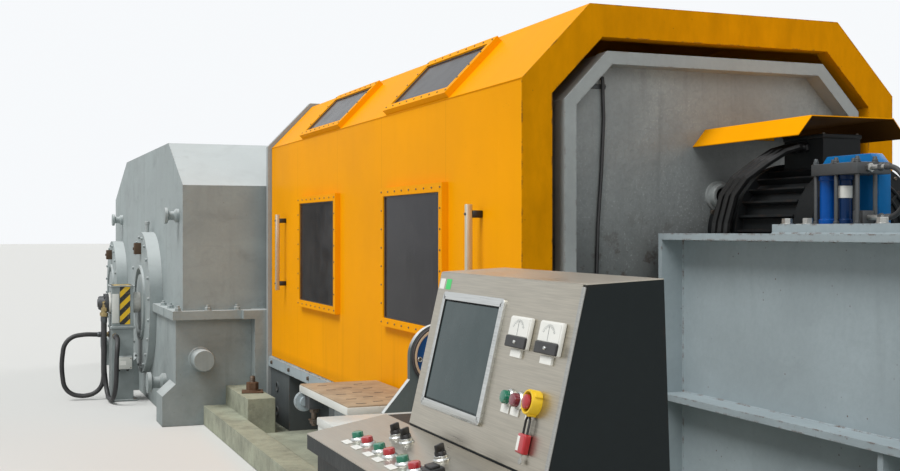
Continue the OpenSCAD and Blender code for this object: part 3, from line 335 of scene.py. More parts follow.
def hood_paint(name, paints, brushed, under=0.0):
    """Orange-yellow gloss on sheet: seams, faint runs, specks; brush marks on the end bands, whose paint is
    a darker copy in painted shade; painted shade along the foot, and on the underside where asked.
    """
    # Painted shade: the end bands take a darker copy of the hood's paint, standing for the shade on the end
    # ring's face.
    base = shade(paints.hood, 0.86 if brushed else 1.0)
    f = Finish(name, base, IOR=1.06)
    clouds = f.noise(1.1, 4.0, rough=0.55)
    f.clouded(clouds, 0.3, 0.7, 0.93, 1.05)
    runs = f.ramp(f.noise(13.0, 5.0, (1.0, 1.0, 0.05), 2.0), 0.56, 0.8)
    f.over(f.times(f.times(runs, f.ramp(f.axis("Z"), 1.25, 0.6, 0.15, 1.0)), 0.34), shade(base, 0.5))
    # Painted shade: the bottom of the sheet, from 0.66 m down to 0.58 m, darkened towards its foot.
    f.over(f.ramp(f.axis("Z"), 0.66, 0.58, 0.0, 0.45), shade(base, 0.42))
    specks = f.times(f.ramp(f.cells(31.0, 4.0), 0.09, 0.04),
                     f.ramp(f.noise(3.1, 3.0, offset=9.0), 0.56, 0.62))
    f.over(f.times(specks, 0.85 if brushed else 0.3), paints.rust)
    skin = f.noise(16.0, 3.0)
    if brushed:
        marks = f.noise(30.0, 5.0, (1.0, 0.3, 0.12), 6.0, 0.65)
        f.over(f.ramp(marks, 0.35, 0.7, 0.0, 0.5), shade(base, 0.6))
        patch = f.ramp(f.noise(5.0, 6.0, (1.0, 1.0, 0.4), 1.0, 0.65), 0.5, 0.64)
        f.over(f.times(f.times(f.ramp(f.axis("Z"), 1.7, 0.9), patch), 0.75), shade(base, 0.22))
        chips = f.ramp(f.noise(14.0, 6.0, offset=3.0, rough=0.7), 0.5, 0.58)
        f.over(f.times(f.edges(0.012), chips), paints.rust)
        skin = f.plus(skin, f.times(marks, 1.5))
    else:
        a, b, c, d = (f.seam(x) for x in HOOD_SEAMS)
        f.over(f.times(f.plus(f.plus(a, b), f.plus(c, d)), 0.4), shade(base, 0.45))
    # Painted shade: faces that look down are darkened to a dark brown, as far as under says.
    if under:
        f.over(f.ramp(f.facing(), -0.2, -0.6, 0.0, under), shade(paints.rust, 0.5))
    f.settle(f.ramp(clouds, 0.2, 0.8, 0.34, 0.46))
    f.bump(skin, 0.0012, 0.5, 0.004)


def hammered_plate(paints):
    """The end plate's glossy grey, hammered and mottled, rubbed brown low down; painted shade darkens it
    towards the bottom and painted glints light it.
    """
    base = tuple(paints.plate)
    f = Finish("hammered_plate", base, Specular_IOR_Level=0.4, Coat_Weight=0.15, Coat_Roughness=0.2)
    dents, clouds = f.noise(46.0, 3.0, warp=0.6), f.noise(2.1, 6.0, rough=0.62, warp=0.4)
    f.clouded(clouds, 0.32, 0.7, 0.72, 1.08)
    f.over(f.ramp(dents, 0.4, 0.72, 0.0, 0.4), shade(base, 0.62))
    # Painted shade: the plate darkens below 2.3 m, and more below 1.7 m.
    f.over(f.ramp(f.axis("Z"), 2.3, 1.1, 0.0, 0.72), shade(base, 0.26))
    f.over(f.ramp(f.axis("Z"), 1.7, 1.25, 0.0, 0.6), shade(base, 0.12))
    chips = f.ramp(f.noise(11.0, 7.0, offset=7.0, rough=0.7), 0.54, 0.6)
    f.over(f.times(f.times(f.ramp(f.axis("Z"), 1.75, 1.35), chips), 0.75), shade(paints.rust, 0.4))
    # Painted highlight: small light specks stand for glints off the hammered paint.
    painted_glints = f.ramp(f.noise(90.0, 2.0, offset=3.0), 0.58, 0.68)
    f.over(f.times(painted_glints, f.ramp(clouds, 0.45, 0.65, 0.0, 0.45)), shade(base, 1.45))
    f.over(f.ramp(f.noise(17.0, 5.0, (1.0, 1.0, 0.06), 1.0), 0.58, 0.8, 0.0, 0.5), shade(base, 0.45))
    f.settle(f.ramp(clouds, 0.3, 0.8, 0.3, 0.5))
    f.bump(f.plus(dents, clouds), 0.003, 0.7)


def concrete(paints):
    """Old cast concrete with pores, dark runs down its sides and oil on its tops."""
    base = tuple(paints.concrete)
    f = Finish("concrete", base)
    clouds, sand = f.noise(3.2, 7.0, rough=0.68), f.noise(140.0, 4.0)
    f.clouded(clouds, 0.28, 0.74, 0.62, 1.12)
    f.over(f.ramp(sand, 0.35, 0.75, 0.0, 0.5), shade(base, 0.68))
    runs = f.ramp(f.noise(11.0, 8.0, (1.0, 1.0, 0.6), 4.0, 0.74), 0.42, 0.8, 0.0, 0.5)
    f.over(f.times(runs, f.ramp(f.math("ABSOLUTE", f.facing()), 0.6, 0.2)), shade(paints.grime, 1.5))
    f.over(f.ramp(f.noise(2.9, 8.0, offset=6.0, rough=0.74), 0.5, 0.74, 0.0, 0.5), shade(paints.grime, 1.2))
    pores = f.ramp(f.cells(60.0, 2.0), 0.16, 0.08, 0.0, 0.6)
    f.over(pores, shade(base, 0.4))
    f.settle(0.92)
    f.bump(f.math("SUBTRACT", f.plus(clouds, f.times(sand, 0.3)), pores), 0.008, 0.8, 0.01)


def brushed(name, base, along, roughness, metallic=1.0, marks=0.15):
    """Brushed or ground metal: fine lines along one axis, with faint rubs."""
    f = Finish(name, base, Metallic=metallic)
    lines = f.noise(420.0, 2.0, tuple(0.02 if axis == along else 1.0 for axis in "XYZ"))
    clouds = f.noise(3.4, 4.0, rough=0.6)
    f.clouded(lines, 0.3, 0.7, 0.88, 1.12)
    f.over(f.ramp(clouds, 0.45, 0.75, 0.0, marks), shade(base, 0.6))
    f.settle(f.ramp(f.plus(lines, clouds), 0.6, 1.4, roughness - 0.07, roughness + 0.1))
    f.bump(lines, 0.0003, 0.35, 0.0015)


def dirty_metal(name, base, rust, roughness, metallic, patch, scale, marks=0.3):
    """Bare steel with oil, rust tint and scratches."""
    f = Finish(name, base, Metallic=metallic)
    clouds, scratch = f.noise(scale, 6.0, rough=0.66), f.noise(90.0, 3.0, (1.0, 0.12, 1.0), 5.0)
    f.over(f.ramp(clouds, 0.36, 0.7, 0.0, patch), rust)
    f.over(f.ramp(scratch, 0.55, 0.75, 0.0, marks), shade(base, 1.3))
    f.settle(f.ramp(clouds, 0.3, 0.75, roughness, roughness + 0.3))
    f.bump(f.plus(clouds, scratch), 0.001, 0.5, 0.002)


def moulded(name, base, roughness=0.45, grain=160.0, depth=0.0004, dust=0.2, **sockets):
    """Moulded plastic or rubber with a fine grain and a film of dust."""
    f = Finish(name, base, **sockets)
    fine, clouds = f.noise(grain, 3.0), f.noise(7.0, 5.0, rough=0.6)
    film = shade(base, 0.5) if sum(base) > 0.6 else tuple(part + 0.06 for part in base)
    f.over(f.ramp(clouds, 0.4, 0.75, 0.0, dust), film)
    f.settle(f.ramp(clouds, 0.3, 0.8, roughness - 0.05, roughness + 0.12))
    f.bump(fine, depth, 0.5, 0.001)


def stripes(first, second):
    """Slanted warning bands, worn at random."""
    f = Finish("warning_stripes", first)
    slant = f.math("SUBTRACT", f.plus(f.axis("Z"), f.axis("X")), f.axis("Y"))
    f.over(f.math("GREATER_THAN", f.math("FRACT", f.times(slant, 8.6)), 0.5), second)
    worn = f.noise(40.0, 4.0)
    f.over(f.ramp(worn, 0.55, 0.75, 0.0, 0.4), (0.3, 0.28, 0.24))
    f.settle(0.45)
    f.bump(worn, 0.0005, 0.4)


# Each worn paint's colour, its chipped edges and its roughness, and what else it shows
WORN_PAINTS = {
    "housing": ("housing", 0.35, 0.5,
                {"dirt": 0.6, "spots": 0.35, "low": 1.3, "dust": 0.4, "grime": card(84, 90, 88)}),
    "pale_grey": ("plate", 0.5, 0.4, {"dirt": 0.3, "low": 0.5}),
    "bed": ("bed", 0.95, 0.38, {"dirt": 0.22, "spots": 0.9, "low": 0.4}),
    "bracket_paint": (card(92, 100, 99), 0.6, 0.5, {"dirt": 0.5, "low": 0.6, "dust": 0.75}),
    "column": ("column", 0.7, 0.5, {"dirt": 0.5, "spots": 0.4, "low": 0.6}),
    "motor": ("motor", 0.2, 0.38, {"dirt": 0.3, "grime": card(60, 58, 54)}),
    "side_box": (card(206, 208, 202), 0.2, 0.25, {"dirt": 0.12}),
    "charcoal": ("charcoal", 0.1, 0.4, {"dirt": 0.1, "grime": card(80, 80, 78)}),
    "clamp_blue": ("clamp", 0.3, 0.24, {"dirt": 0.2}),
    "cylinder_blue": (card(2, 74, 150), 0.2, 0.16, {"dirt": 0.12}),
    "cylinder_dark": (card(14, 44, 84), 0.2, 0.14, {"dirt": 0.12}),
    "wheel_blue": ("wheel", 0.4, 0.35, {"dirt": 0.4}),
    "brown_block": (card(84, 68, 54), 0.5, 0.6, {}),
}
# Each plastic's or rubber's colour and roughness, and what else it shows
MOULDED = {
    "rubber": (card(24, 24, 25), 0.5, {"grain": 220.0, "depth": 0.0006, "dust": 0.5}),
    "black_plastic": (card(18, 17, 17), 0.4, {"dust": 0.1}),
    "white_plastic": (card(222, 222, 216), 0.42, {}),
    "wheel_ring": (card(186, 160, 132), 0.5, {}),
    "tyre": (card(38, 32, 30), 0.6, {"grain": 120.0, "depth": 0.0006, "dust": 0.4}),
    "sign_yellow": (card(226, 186, 24), 0.4, {}),
    "button_green": (card(4, 104, 78), 0.28, {"Coat_Weight": 0.4}),
    "button_red": (card(158, 22, 30), 0.28, {"Coat_Weight": 0.4}),
    "button_maroon": (card(110, 30, 44), 0.28, {"Coat_Weight": 0.4}),
    "sticker_green": (card(52, 190, 96), 0.5, {}),
    "lock_red": (card(166, 12, 26), 0.3, {"Coat_Weight": 0.5}),
    "pane": (card(34, 33, 37), 0.14,
             {"grain": 6.0, "depth": 0.0012, "dust": 0.3, "Alpha": 0.9, "IOR": 1.16}),
    "screen_glass": (card(36, 55, 56), 0.12, {"grain": 3.0, "depth": 0.0002, "dust": 0.3, "IOR": 1.3}),
    # deep_shadow is painted shade: a flat dark finish for slots, bores and vents, where only shade falls.
    "deep_shadow": (card(14, 14, 14), 0.9, {}),
}


def make_finishes(paints):
    """Every finish of the mill, by name."""
    hood_paint("hood", paints, False)
    # The end ring's finish is the hood's paint, brushed and darkened as painted shade.
    hood_paint("hood_ring", paints, True)
    # The canopy's finish is the hood's paint with painted shade on its underside.
    hood_paint("canopy", paints, False, 0.92)
    hammered_plate(paints)
    concrete(paints)
    for name, (base, wear, gloss, more) in WORN_PAINTS.items():
        worn_paint(paints, name, base, wear, gloss, **more)
    brushed("stainless", tuple(paints.stainless), "X", 0.33, marks=0.1)
    brushed("screen_bezel", card(196, 198, 196), "X", 0.3, marks=0.05)
    brushed("machined", tuple(paints.steel), "X", 0.34)
    brushed("shaft_steel", card(206, 206, 200), "Y", 0.4, metallic=0.35)
    brushed("handle_alloy", card(196, 190, 174), "Z", 0.36, metallic=0.85)
    rust = tuple(paints.rust)
    dirty_metal("bolt_steel", card(104, 98, 90), rust, 0.42, 0.85, 0.6, 22.0)
    dirty_metal("dark_steel", card(74, 78, 80), rust, 0.4, 0.6, 0.15, 14.0)
    dirty_metal("table_steel", tuple(paints.table), rust, 0.5, 0.3, 0.5, 5.0, 0.06)
    dirty_metal("rust_steel", card(96, 74, 56), rust, 0.7, 0.3, 0.8, 18.0)
    dirty_metal("brass", tuple(paints.brass), card(92, 76, 50), 0.3, 0.85, 0.3, 30.0)
    for name, (base, roughness, more) in MOULDED.items():
        moulded(name, base, roughness, **more)
    stripes(card(222, 180, 20), card(26, 26, 26))


NODE_FINISH = {
    "concrete": ("foundation",),
    "housing": ("crank_housing_base", "split_flange", "crank_housing_cover",
                "lifting_trunnions", "side_boss", "union_bracket", "bearing_covers"),
    "brass": ("rotary_union",),
    "rubber": ("union_hose_a", "union_hose_b", "clamp_hose", "plate_cable"),
    "column": ("mill_bed", "rail_columns", "roll_stand", "connecting_rods"),
    "bed": ("hood_rails", "bed_girders", "bed_end_plates", "bed_mount_plate"),
    "bracket_paint": ("wheel_bracket",),
    "pale_grey": ("portal_frame", "end_trim"),
    "machined": ("working_rolls",),
    "hammered_plate": ("end_housing",),
    "motor": ("drive_motor",),
    "hood": ("hood_side_front", "hood_side_back", "hood_roof_front", "hood_roof_back", "hood_roof_top",
             "window_frames", "hood_far_ring"),
    "canopy": ("motor_canopy",),
    "hood_ring": ("hood_end_ring",),
    "handle_alloy": ("hood_handles",),
    "pane": ("window_panes",),
    "clamp_blue": ("clamp_cylinders", "clamp_plates"),
    "table_steel": ("side_table",),
    "wheel_blue": ("guide_wheel",),
    "rust_steel": ("anchor_bolts",),
    "charcoal": ("desk_base", "desk_head"),
    "stainless": ("desk_shelf", "desk_front_plate"),
    "side_box": ("desk_side_box",),
    "screen_bezel": ("desk_screen",),
    "black_plastic": ("desk_controls", "motor_cables"),
}


# Shapes

UP, DOWN, FORE, ACROSS, NEAR = (0, 0, 1), (0, 0, -1), (1, 0, 0), (0, 1, 0), (0, -1, 0)
SHARP_ANGLE = math.radians(35)


def spun(place, degrees):
    """A place turned about its own Z."""
    return place @ Matrix.Rotation(math.radians(degrees), 4, "Z")


def shifted(place, x, y, z):
    """A place moved along its own axes."""
    return place @ Matrix.Translation((x, y, z))


def raised(place, height):
    """A place moved along its own Z."""
    return shifted(place, 0, 0, height)


def mirrored(side):
    """Takes what stands on the +Y side to a side."""
    return Matrix.Scale(side, 4, ACROSS)


def at(point, axis=UP, turn=0.0):
    """A place at a point whose own Z runs along axis, turned about it in degrees."""
    spin = Vector(axis).to_track_quat("Z", "Y").to_matrix().to_4x4()
    return spun(Matrix.Translation(point) @ spin, turn)


def plane(origin, x, y):
    """A place at origin whose own X and Y run along two directions, and its Z out of them."""
    x, y = Vector(x).normalized(), Vector(y).normalized()
    return Matrix.Translation(origin) @ Matrix((x, y, x.cross(y))).transposed().to_4x4()


def ease(part, edges, offset, steps=1):
    """Bevels edges of a shape."""
    bmesh.ops.bevel(part, geom=edges, offset=offset, affect="EDGES", segments=steps,
                    profile=0.5, material=-1)


def scaled(radius, shares):
    """A profile given in shares of a radius."""
    return [(radius * a, radius * b) for a, b in shares]


class Piece:
    """A mesh grown from bevelled, turned and extruded shapes, that then rides on a body."""

    def __init__(self, name, *paints):
        self.name = name
        self.paints = paints
        self.mesh = bmesh.new()

    def add(self, part, place, paint):
        """Takes in a shape that is finished, at its place."""
        bmesh.ops.remove_doubles(part, verts=part.verts, dist=1e-5)
        if place is not None:
            part.transform(place)
        bmesh.ops.recalc_face_normals(part, faces=part.faces)
        if paint is not None:
            for face in part.faces:
                face.material_index = paint
        carrier = bpy.data.meshes.new("carrier")
        part.to_mesh(carrier)
        part.free()
        self.mesh.from_mesh(carrier)
        bpy.data.meshes.remove(carrier)

    def block(self, low, high, soft=0.002, place=None, paint=0, steps=1):
        """A block between two corners with eased edges."""
        part = bmesh.new()
        bmesh.ops.create_cube(part, size=1.0)
        size = [b - a for a, b in zip(low, high)]
        bmesh.ops.scale(part, vec=size, verts=part.verts)
        bmesh.ops.translate(part, vec=[(a + b) / 2 for a, b in zip(low, high)], verts=part.verts)
        if soft:
            ease(part, part.edges[:], min(soft, min(size) * 0.45), steps)
        self.add(part, place, paint)

    def turned(self, profile, place, paint=0, steps=32):
        """A profile of (radius, height) turned round the place's own Z."""
        part = bmesh.new()
        points = [part.verts.new((radius, 0.0, height)) for radius, height in profile]
        line = [part.edges.new(pair) for pair in zip(points, points[1:])]
        bmesh.ops.spin(part, geom=points + line, cent=(0, 0, 0), axis=UP, angle=2 * math.pi, steps=steps,
                       use_merge=True)
        self.add(part, place, paint)

    def lathe(self, profile, place, paint=0, steps=32):
        """A turned solid: the profile is closed down to the axis at both its ends."""
        self.turned([(0.0, profile[0][1]), *profile, (0.0, profile[-1][1])], place, paint, steps)

    def rod(self, radius, length, place, paint=0, steps=24):
        """A plain round rod."""
        self.lathe([(radius, 0.0), (radius, length)], place, paint, steps)

    def disc(self, radius, height, place, paint=0, soft=0.001, steps=24):
        """A round plug with an eased rim."""
        self.lathe([(radius, 0.0), (radius, height - soft), (radius - soft, height)], place, paint, steps)

    def nut(self, flats, height, place, paint=0, washer=True):
        """A hexagon head with a chamfered crown on its washer."""
        part = bmesh.new()
        across = flats / math.sqrt(3)
        bmesh.ops.create_cone(part, cap_ends=True, segments=6, radius1=across, radius2=across, depth=height)
        bmesh.ops.translate(part, vec=(0, 0, height / 2), verts=part.verts)
        crown = [e for e in part.edges if all(v.co.z > height * 0.9 for v in e.verts)]
        ease(part, crown, flats * 0.06)
        self.add(part, place, paint)
        if washer:
            self.disc(flats * 0.72, flats * 0.09, place, paint, flats * 0.02, 20)

    def prism(self, outline, height, place, paint, soft, steps=1):
        """An outline in the place's X and Y, extruded along its Z, with eased edges."""
        part = bmesh.new()
        face = part.faces.new([part.verts.new((x, y, 0.0)) for x, y in outline])
        grown = bmesh.ops.extrude_face_region(part, geom=[face])["geom"]
        top = [g for g in grown if isinstance(g, bmesh.types.BMVert)]
        bmesh.ops.translate(part, vec=(0, 0, height), verts=top)
        ease(part, part.edges[:], soft, steps)
        self.add(part, place, paint)

    def bar(self, points, radius, place=None, paint=0):
        """A round bar drawn along points."""
        part = bmesh.new()
        line = [Vector((*point, 0.0)[:3]) for point in points]
        ways = [(b - a).normalized() for a, b in zip([line[0], *line], [*line[1:], line[-1]])]
        ways = [ways[0], *[(a + b).normalized() for a, b in zip(ways[1:-1], ways[2:])], ways[-1]]
        bmesh.ops.create_circle(part, cap_ends=True, segments=8, radius=radius, matrix=at(line[0], ways[0]))
        rim = part.edges[:]
        for start, end, old, new in zip(line, line[1:], ways, ways[1:]):
            grown = bmesh.ops.extrude_edge_only(part, edges=rim)["geom"]
            rim = [g for g in grown if isinstance(g, bmesh.types.BMEdge)]
            turn = old.rotation_difference(new).to_matrix().to_4x4()
            move = Matrix.Translation(end) @ turn @ Matrix.Translation(-start)
            bmesh.ops.transform(part, matrix=move,
                                verts=[g for g in grown if isinstance(g, bmesh.types.BMVert)])
        bmesh.ops.edgeloop_fill(part, edges=rim)
        self.add(part, place, paint)

    def screw(self, radius, place, paint=0):
        """A low round screw head with a socket."""
        head = ((1.0, 0.0), (1.0, 0.5), (0.8, 0.8), (0.42, 0.8), (0.38, 0.35))
        self.lathe(scaled(radius, head), place, paint, 10)

    def gland(self, radius, place, paint=0):
        """A cable gland: hexagon foot and a domed nut."""
        self.nut(radius * 1.9, radius * 0.6, place, paint, washer=False)
        dome = ((0.88, 0.0), (0.88, 1.1), (0.8, 1.4), (0.62, 1.6))
        self.lathe(scaled(radius, dome), place, paint, 18)

    def push_button(self, place, radius, out, ring, cap):
        """A push button: a turned bezel and a domed cap."""
        bezel = ((1.4, 0.0), (1.4, 0.18), (1.25, 0.4), (1.08, 0.55), (1.04, 0.3))
        self.lathe(scaled(radius, bezel), place, ring, 28)
        self.lathe([(radius, radius * 0.2), (radius, out - radius * 0.25),
                    (radius * 0.9, out - radius * 0.06), (radius * 0.6, out)], place, cap, 28)

    def border(self, low, high, width, bottom, top, place):
        """Four strips inside a rectangle's edge."""
        (a, b), (c, d) = low, high
        for strip in (((a, b), (c, b + width)), ((a, d - width), (c, d)),
                      ((a, b + width), (a + width, d - width)), ((c - width, b + width), (c, d - width))):
            self.block((*strip[0], bottom), (*strip[1], top), 0.001, place)

    def display(self, size, height, band, border, corner, place):
        """A rounded bezel, a border sunk in it and glass inside, in the piece's first three paints."""
        part = bmesh.new()
        bmesh.ops.create_cube(part, size=1.0)
        bmesh.ops.translate(part, vec=(0.5, 0.5, 0.5), verts=part.verts)
        bmesh.ops.scale(part, vec=(*size, height - 0.001), verts=part.verts)
        corners = [e for e in part.edges if abs(e.verts[0].co.z - e.verts[1].co.z) > height / 2]
        ease(part, corners, corner, 6)
        glass = max(part.faces, key=lambda face: face.calc_center_median().z)
        insets = ((0.0015, 0.001), (band - 0.003, 0.0), (0.0008, -0.003), (border, 0.0))
        rings = [bmesh.ops.inset_region(part, faces=[glass], thickness=wide, depth=deep)["faces"]
                 for wide, deep in insets]
        for face in (*rings[2], *rings[3]):
            face.material_index = 1
        glass.material_index = 2
        self.add(part, place, None)

    def done(self, body="mill", replaces=()):
        """Makes the object, shades it smooth but for its edges, and lets it ride on a body."""
        mesh = bpy.data.meshes.new(self.name)
        self.mesh.to_mesh(mesh)
        self.mesh.free()
        for name in self.paints:
            mesh.materials.append(FINISHES[name])
        mesh.shade_smooth()
        mesh.set_sharp_from_angle(angle=SHARP_ANGLE)
        return placed(self.name, mesh, body, replaces)


def linked(name, data):
    """A new object in the scene."""
    made = bpy.data.objects.new(name, data)
    bpy.context.scene.collection.objects.link(made)
    return made


def placed(name, data, body, replaces):
    """A piece that rides on a body, and may stand for nodes of the frame."""
    made = linked(name, data)
    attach(made, body)
    if replaces:
        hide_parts(*replaces)
    return made


def hose_tube(name, points, radius, replaces):
    """A round rubber tube whose centreline runs through points."""
    curve = bpy.data.curves.new(name, "CURVE")
    curve.dimensions = "3D"
    curve.bevel_depth = radius
    curve.bevel_resolution = 6
    curve.resolution_u = 8
    curve.use_fill_caps = True
    spline = curve.splines.new("BEZIER")
    spline.bezier_points.add(len(points) - 1)
    for knot, point in zip(spline.bezier_points, points):
        knot.co = point
        knot.handle_left_type = knot.handle_right_type = "AUTO"
    curve.materials.append(FINISHES["rubber"])
    made = placed(name, curve, "mill", replaces)
    return made


def spread(low, high, pitch):
    """Evenly spaced places from low to high, no further apart than pitch."""
    count = max(1, math.ceil((high - low) / pitch))
    return [low + (high - low) * k / count for k in range(count + 1)]


def ring_of(count, radius, start=0.0):
    """Points round a circle, in its own plane."""
    turns = [start + 2 * math.pi * k / count for k in range(count)]
    return [(radius * math.cos(t), radius * math.sin(t)) for t in turns]


def round_edge(low, high, inset, pitch):
    """Points round a rectangle, inset from its edges and about a pitch apart."""
    (a, b), (c, d) = [v + inset for v in low], [v - inset for v in high]
    across, along = spread(a, c, pitch), spread(b, d, pitch)
    return [(u, v) for u in across for v in (b, d)] + [(u, v) for u in (a, c) for v in along[1:-1]]


# The stage

EYE = (4.919, -3.314, 1.62)
EYE_TURN = 68.65
HORIZON_SHIFT = -0.005
SENSOR = 36.0
VIEW_END = 200.0
FLOOR_HALF, FLOOR_AT = 150.0, (-4.0, 0.0, -0.002)
ROOM_COLOUR = (0.93, 0.95, 0.97, 1.0)
# Where each lamp stands, seen from the mill
LAMPS = {"front": (0.12, -0.52, 0.85), "end": (0.86, -0.2, 0.47), "back": (-0.35, 0.7, 0.62)}


class MILL_OT_stage(Operator):
    """Sets up the floor, the soft lamps and the camera at the photograph's angle"""
    bl_idname = "mill.stage"
    bl_label = "Stage"

    def execute(self, context):
        light, paints = context.scene.mill_light, context.scene.mill_colours
        lens = bpy.data.cameras.new("camera")
        lens.lens = light.lens
        lens.sensor_width = SENSOR
        lens.shift_y = HORIZON_SHIFT
        lens.clip_end = VIEW_END
        camera = linked("camera", lens)
        camera.location = EYE
        camera.rotation_euler = (math.radians(90), 0.0, math.radians(EYE_TURN))
        context.scene.camera = camera

        floor_mesh = bmesh.new()
        bmesh.ops.create_grid(floor_mesh, x_segments=1, y_segments=1, size=FLOOR_HALF)
        sheet = bpy.data.meshes.new("floor")
        floor_mesh.to_mesh(sheet)
        floor_mesh.free()
        floor = linked("floor", sheet)
        floor.location = FLOOR_AT
        sheet.materials.append(Finish("floor", tuple(paints.floor), roughness=0.9).material)

        for name, towards in LAMPS.items():
            lamp = bpy.data.lights.new(name, "SUN")
            lamp.angle = light.softness
            lamp.energy = getattr(light, name)
            linked(name, lamp).rotation_euler = Vector(towards).to_track_quat("Z", "Y").to_euler()

        room = bpy.data.worlds.new("room")
        room.use_nodes = True
        nodes, links = room.node_tree.nodes, room.node_tree.links
        path = nodes.new("ShaderNodeLightPath")
        seen = path.outputs["Is Camera Ray"]
        for name in ("Is Glossy Ray", "Is Transmission Ray"):
            either = nodes.new("ShaderNodeMath")
            either.operation = "MAXIMUM"
            links.new(seen, either.inputs[0])
            links.new(path.outputs[name], either.inputs[1])
            seen = either.outputs[0]
        level = nodes.new("ShaderNodeMapRange")
        level.inputs["To Min"].default_value = light.fill
        level.inputs["To Max"].default_value = 1.0
        links.new(seen, level.inputs["Value"])
        links.new(level.outputs["Result"], nodes["Background"].inputs["Strength"])
        nodes["Background"].inputs["Color"].default_value = ROOM_COLOUR
        context.scene.world = room
        context.scene.view_settings.view_transform = "Standard"
        return {"FINISHED"}


# Hoses, as the source routes them

HOSE_RADIUS, HOSE_TURN, HOSE_Y = 0.022, 0.165, -2.205
HOSE_TOP, HOSE_LOW, HOSE_LEG, HOSE_BACK = 0.805, 0.205, 0.455, 0.62
# Each hose's top in X, its way out, how far its loop runs, its lean to the side and where it ends
HOSES = {"union_hose_a": (-6.977, (1.0, 0.0), 0.06, 0.09, 0.135),
         "union_hose_b": (-7.087, (0.0, -1.0), 0.04, -0.055, -0.01)}
CLAMP_HOSE_RADIUS, CLAMP_HOSE_TURN = 0.01, 0.0925
CLAMP_HOSE_END, CLAMP_HOSE_LEAD, CLAMP_HOSE_Y, CLAMP_HOSE_MID = 1.398, 0.012, -0.225, 1.7635


def arc(turns, radius):
    """Points on a circle at turns in degrees."""
    return [(radius * math.cos(math.radians(t)), radius * math.sin(math.radians(t))) for t in turns]


def hose_route(top_x, way, run, side, finish_out):
    """A union hose's route: down from its port, round above the floor, up and back to the bracket."""
    legs = [(0.0, HOSE_TOP), (0.0, (HOSE_TOP + HOSE_LOW) / 2), (0.0, HOSE_LOW + HOSE_TURN / 2),
            (0.0, HOSE_LOW)]
    legs += [(HOSE_TURN - c, HOSE_LOW - s) for c, s in arc((30, 60, 90), HOSE_TURN)]
    legs += [(HOSE_TURN - c + run, HOSE_LOW - s) for c, s in arc((90, 120, 150), HOSE_TURN)]
    legs += [(2 * HOSE_TURN + run, HOSE_LOW), (2 * HOSE_TURN + run, HOSE_LEG)]
    legs += [(HOSE_TURN + c + run, HOSE_LEG + s) for c, s in arc((30, 60, 90), HOSE_TURN)]
    legs += [(finish_out + HOSE_TURN / 4, HOSE_BACK), (finish_out, HOSE_BACK)]
    last = len(legs) - 1
    route = []
    for step, (out, height) in enumerate(legs):
        lean = side * max(0.0, min(1.0, (step - 2) / (last - 5)))
        route.append((top_x + way[0] * out - way[1] * lean, HOSE_Y + way[1] * out + way[0] * lean, height))
    return route


def clamp_hose_route():
    """The clamp hose's route: a half turn between the two fittings."""
    ends = [(CLAMP_HOSE_END, CLAMP_HOSE_Y, CLAMP_HOSE_MID + way * CLAMP_HOSE_TURN) for way in (1, -1)]
    turn = [(CLAMP_HOSE_END + CLAMP_HOSE_LEAD + s, CLAMP_HOSE_Y, CLAMP_HOSE_MID + c)
            for c, s in arc(range(0, 181, 20), CLAMP_HOSE_TURN)]
    return [ends[0], *turn, ends[1]]


def sleeve(name, radius, end, towards):
    """A crimped sleeve on a hose's end, ribbed and tapered, along a direction."""
    piece = Piece(name, "dark_steel")
    profile = [(0.0, 0.0), (radius * 1.06, 0.0)]
    for rib in range(4):
        low = radius * (0.2 + rib * 0.55)
        profile += [(radius * 1.16, low), (radius * 1.22, low + radius * 0.12),
                    (radius * 1.22, low + radius * 0.38), (radius * 1.14, low + radius * 0.5)]
    profile += [(radius * 1.02, radius * 2.9), (0.0, radius * 2.9)]
    piece.turned(profile, at(end, towards), steps=24)
    return piece.done()


class MILL_OT_hoses(Operator):
    """Lays the rotary union's two hoses and the clamp's hose along their routes"""
    bl_idname = "mill.hoses"
    bl_label = "Hoses"

    def execute(self, context):
        routes = {name: (hose_route(*facts), HOSE_RADIUS) for name, facts in HOSES.items()}
        routes["clamp_hose"] = (clamp_hose_route(), CLAMP_HOSE_RADIUS)
        for name, (route, radius) in routes.items():
            sleeves = [sleeve(name + "_first_sleeve", radius, route[0],
                              Vector(route[1]) - Vector(route[0])),
                       sleeve(name + "_last_sleeve", radius, route[-1],
                              Vector(route[-2]) - Vector(route[-1]))]
            hose = hose_tube(name + "_rubber", route, radius, (name,))
        return {"FINISHED"}


class MILL_OT_paint(Operator):
    """Gives every solid of the frame its finish"""
    bl_idname = "mill.paint"
    bl_label = "Paint"

    def execute(self, context):
        left = set(NODES)
        for name, nodes in NODE_FINISH.items():
            for node in nodes:
                mesh = NODES[node].data
                mesh.materials.clear()
                mesh.materials.append(FINISHES[name])
                left.discard(node)
        if left:
            raise RuntimeError(f"no finish for {sorted(left)}")
        return {"FINISHED"}


# The hood

SHOULDER = 2.31
SLOPE_RUN, SLOPE_RISE = 0.6929, 0.7210
WINDOW_LENGTH, WINDOW_HEIGHT, FRAME_BAND, FRAME_PROUD, PANE_SET = 1.03, 0.82, 0.05, 0.036, 0.012
ROOF_FOOT, ROOF_TOP = 0.006, 0.441
SIDES = (-1, 1)
# The handles' bars, and where along a bar's height its two blocks stand
GRIP_HALF, GRIP_DEPTH, GRIP_FEET = 0.0125, 0.033, (0.09, 0.92)


def wall(side):
    """The hood's side wall as a plane: X along it, Y up, Z out."""
    return plane((0.0, side * abs(FRONT[0][1]), 0.0), (-side, 0, 0), UP)


def slope(side):
    """The hood's slanted roof as a plane: X along it, Y up the slope, Z out."""
    return plane((0.0, side * abs(FRONT[0][1]), SHOULDER), (-side, 0, 0),
                 (0, -side * SLOPE_RUN, SLOPE_RISE))


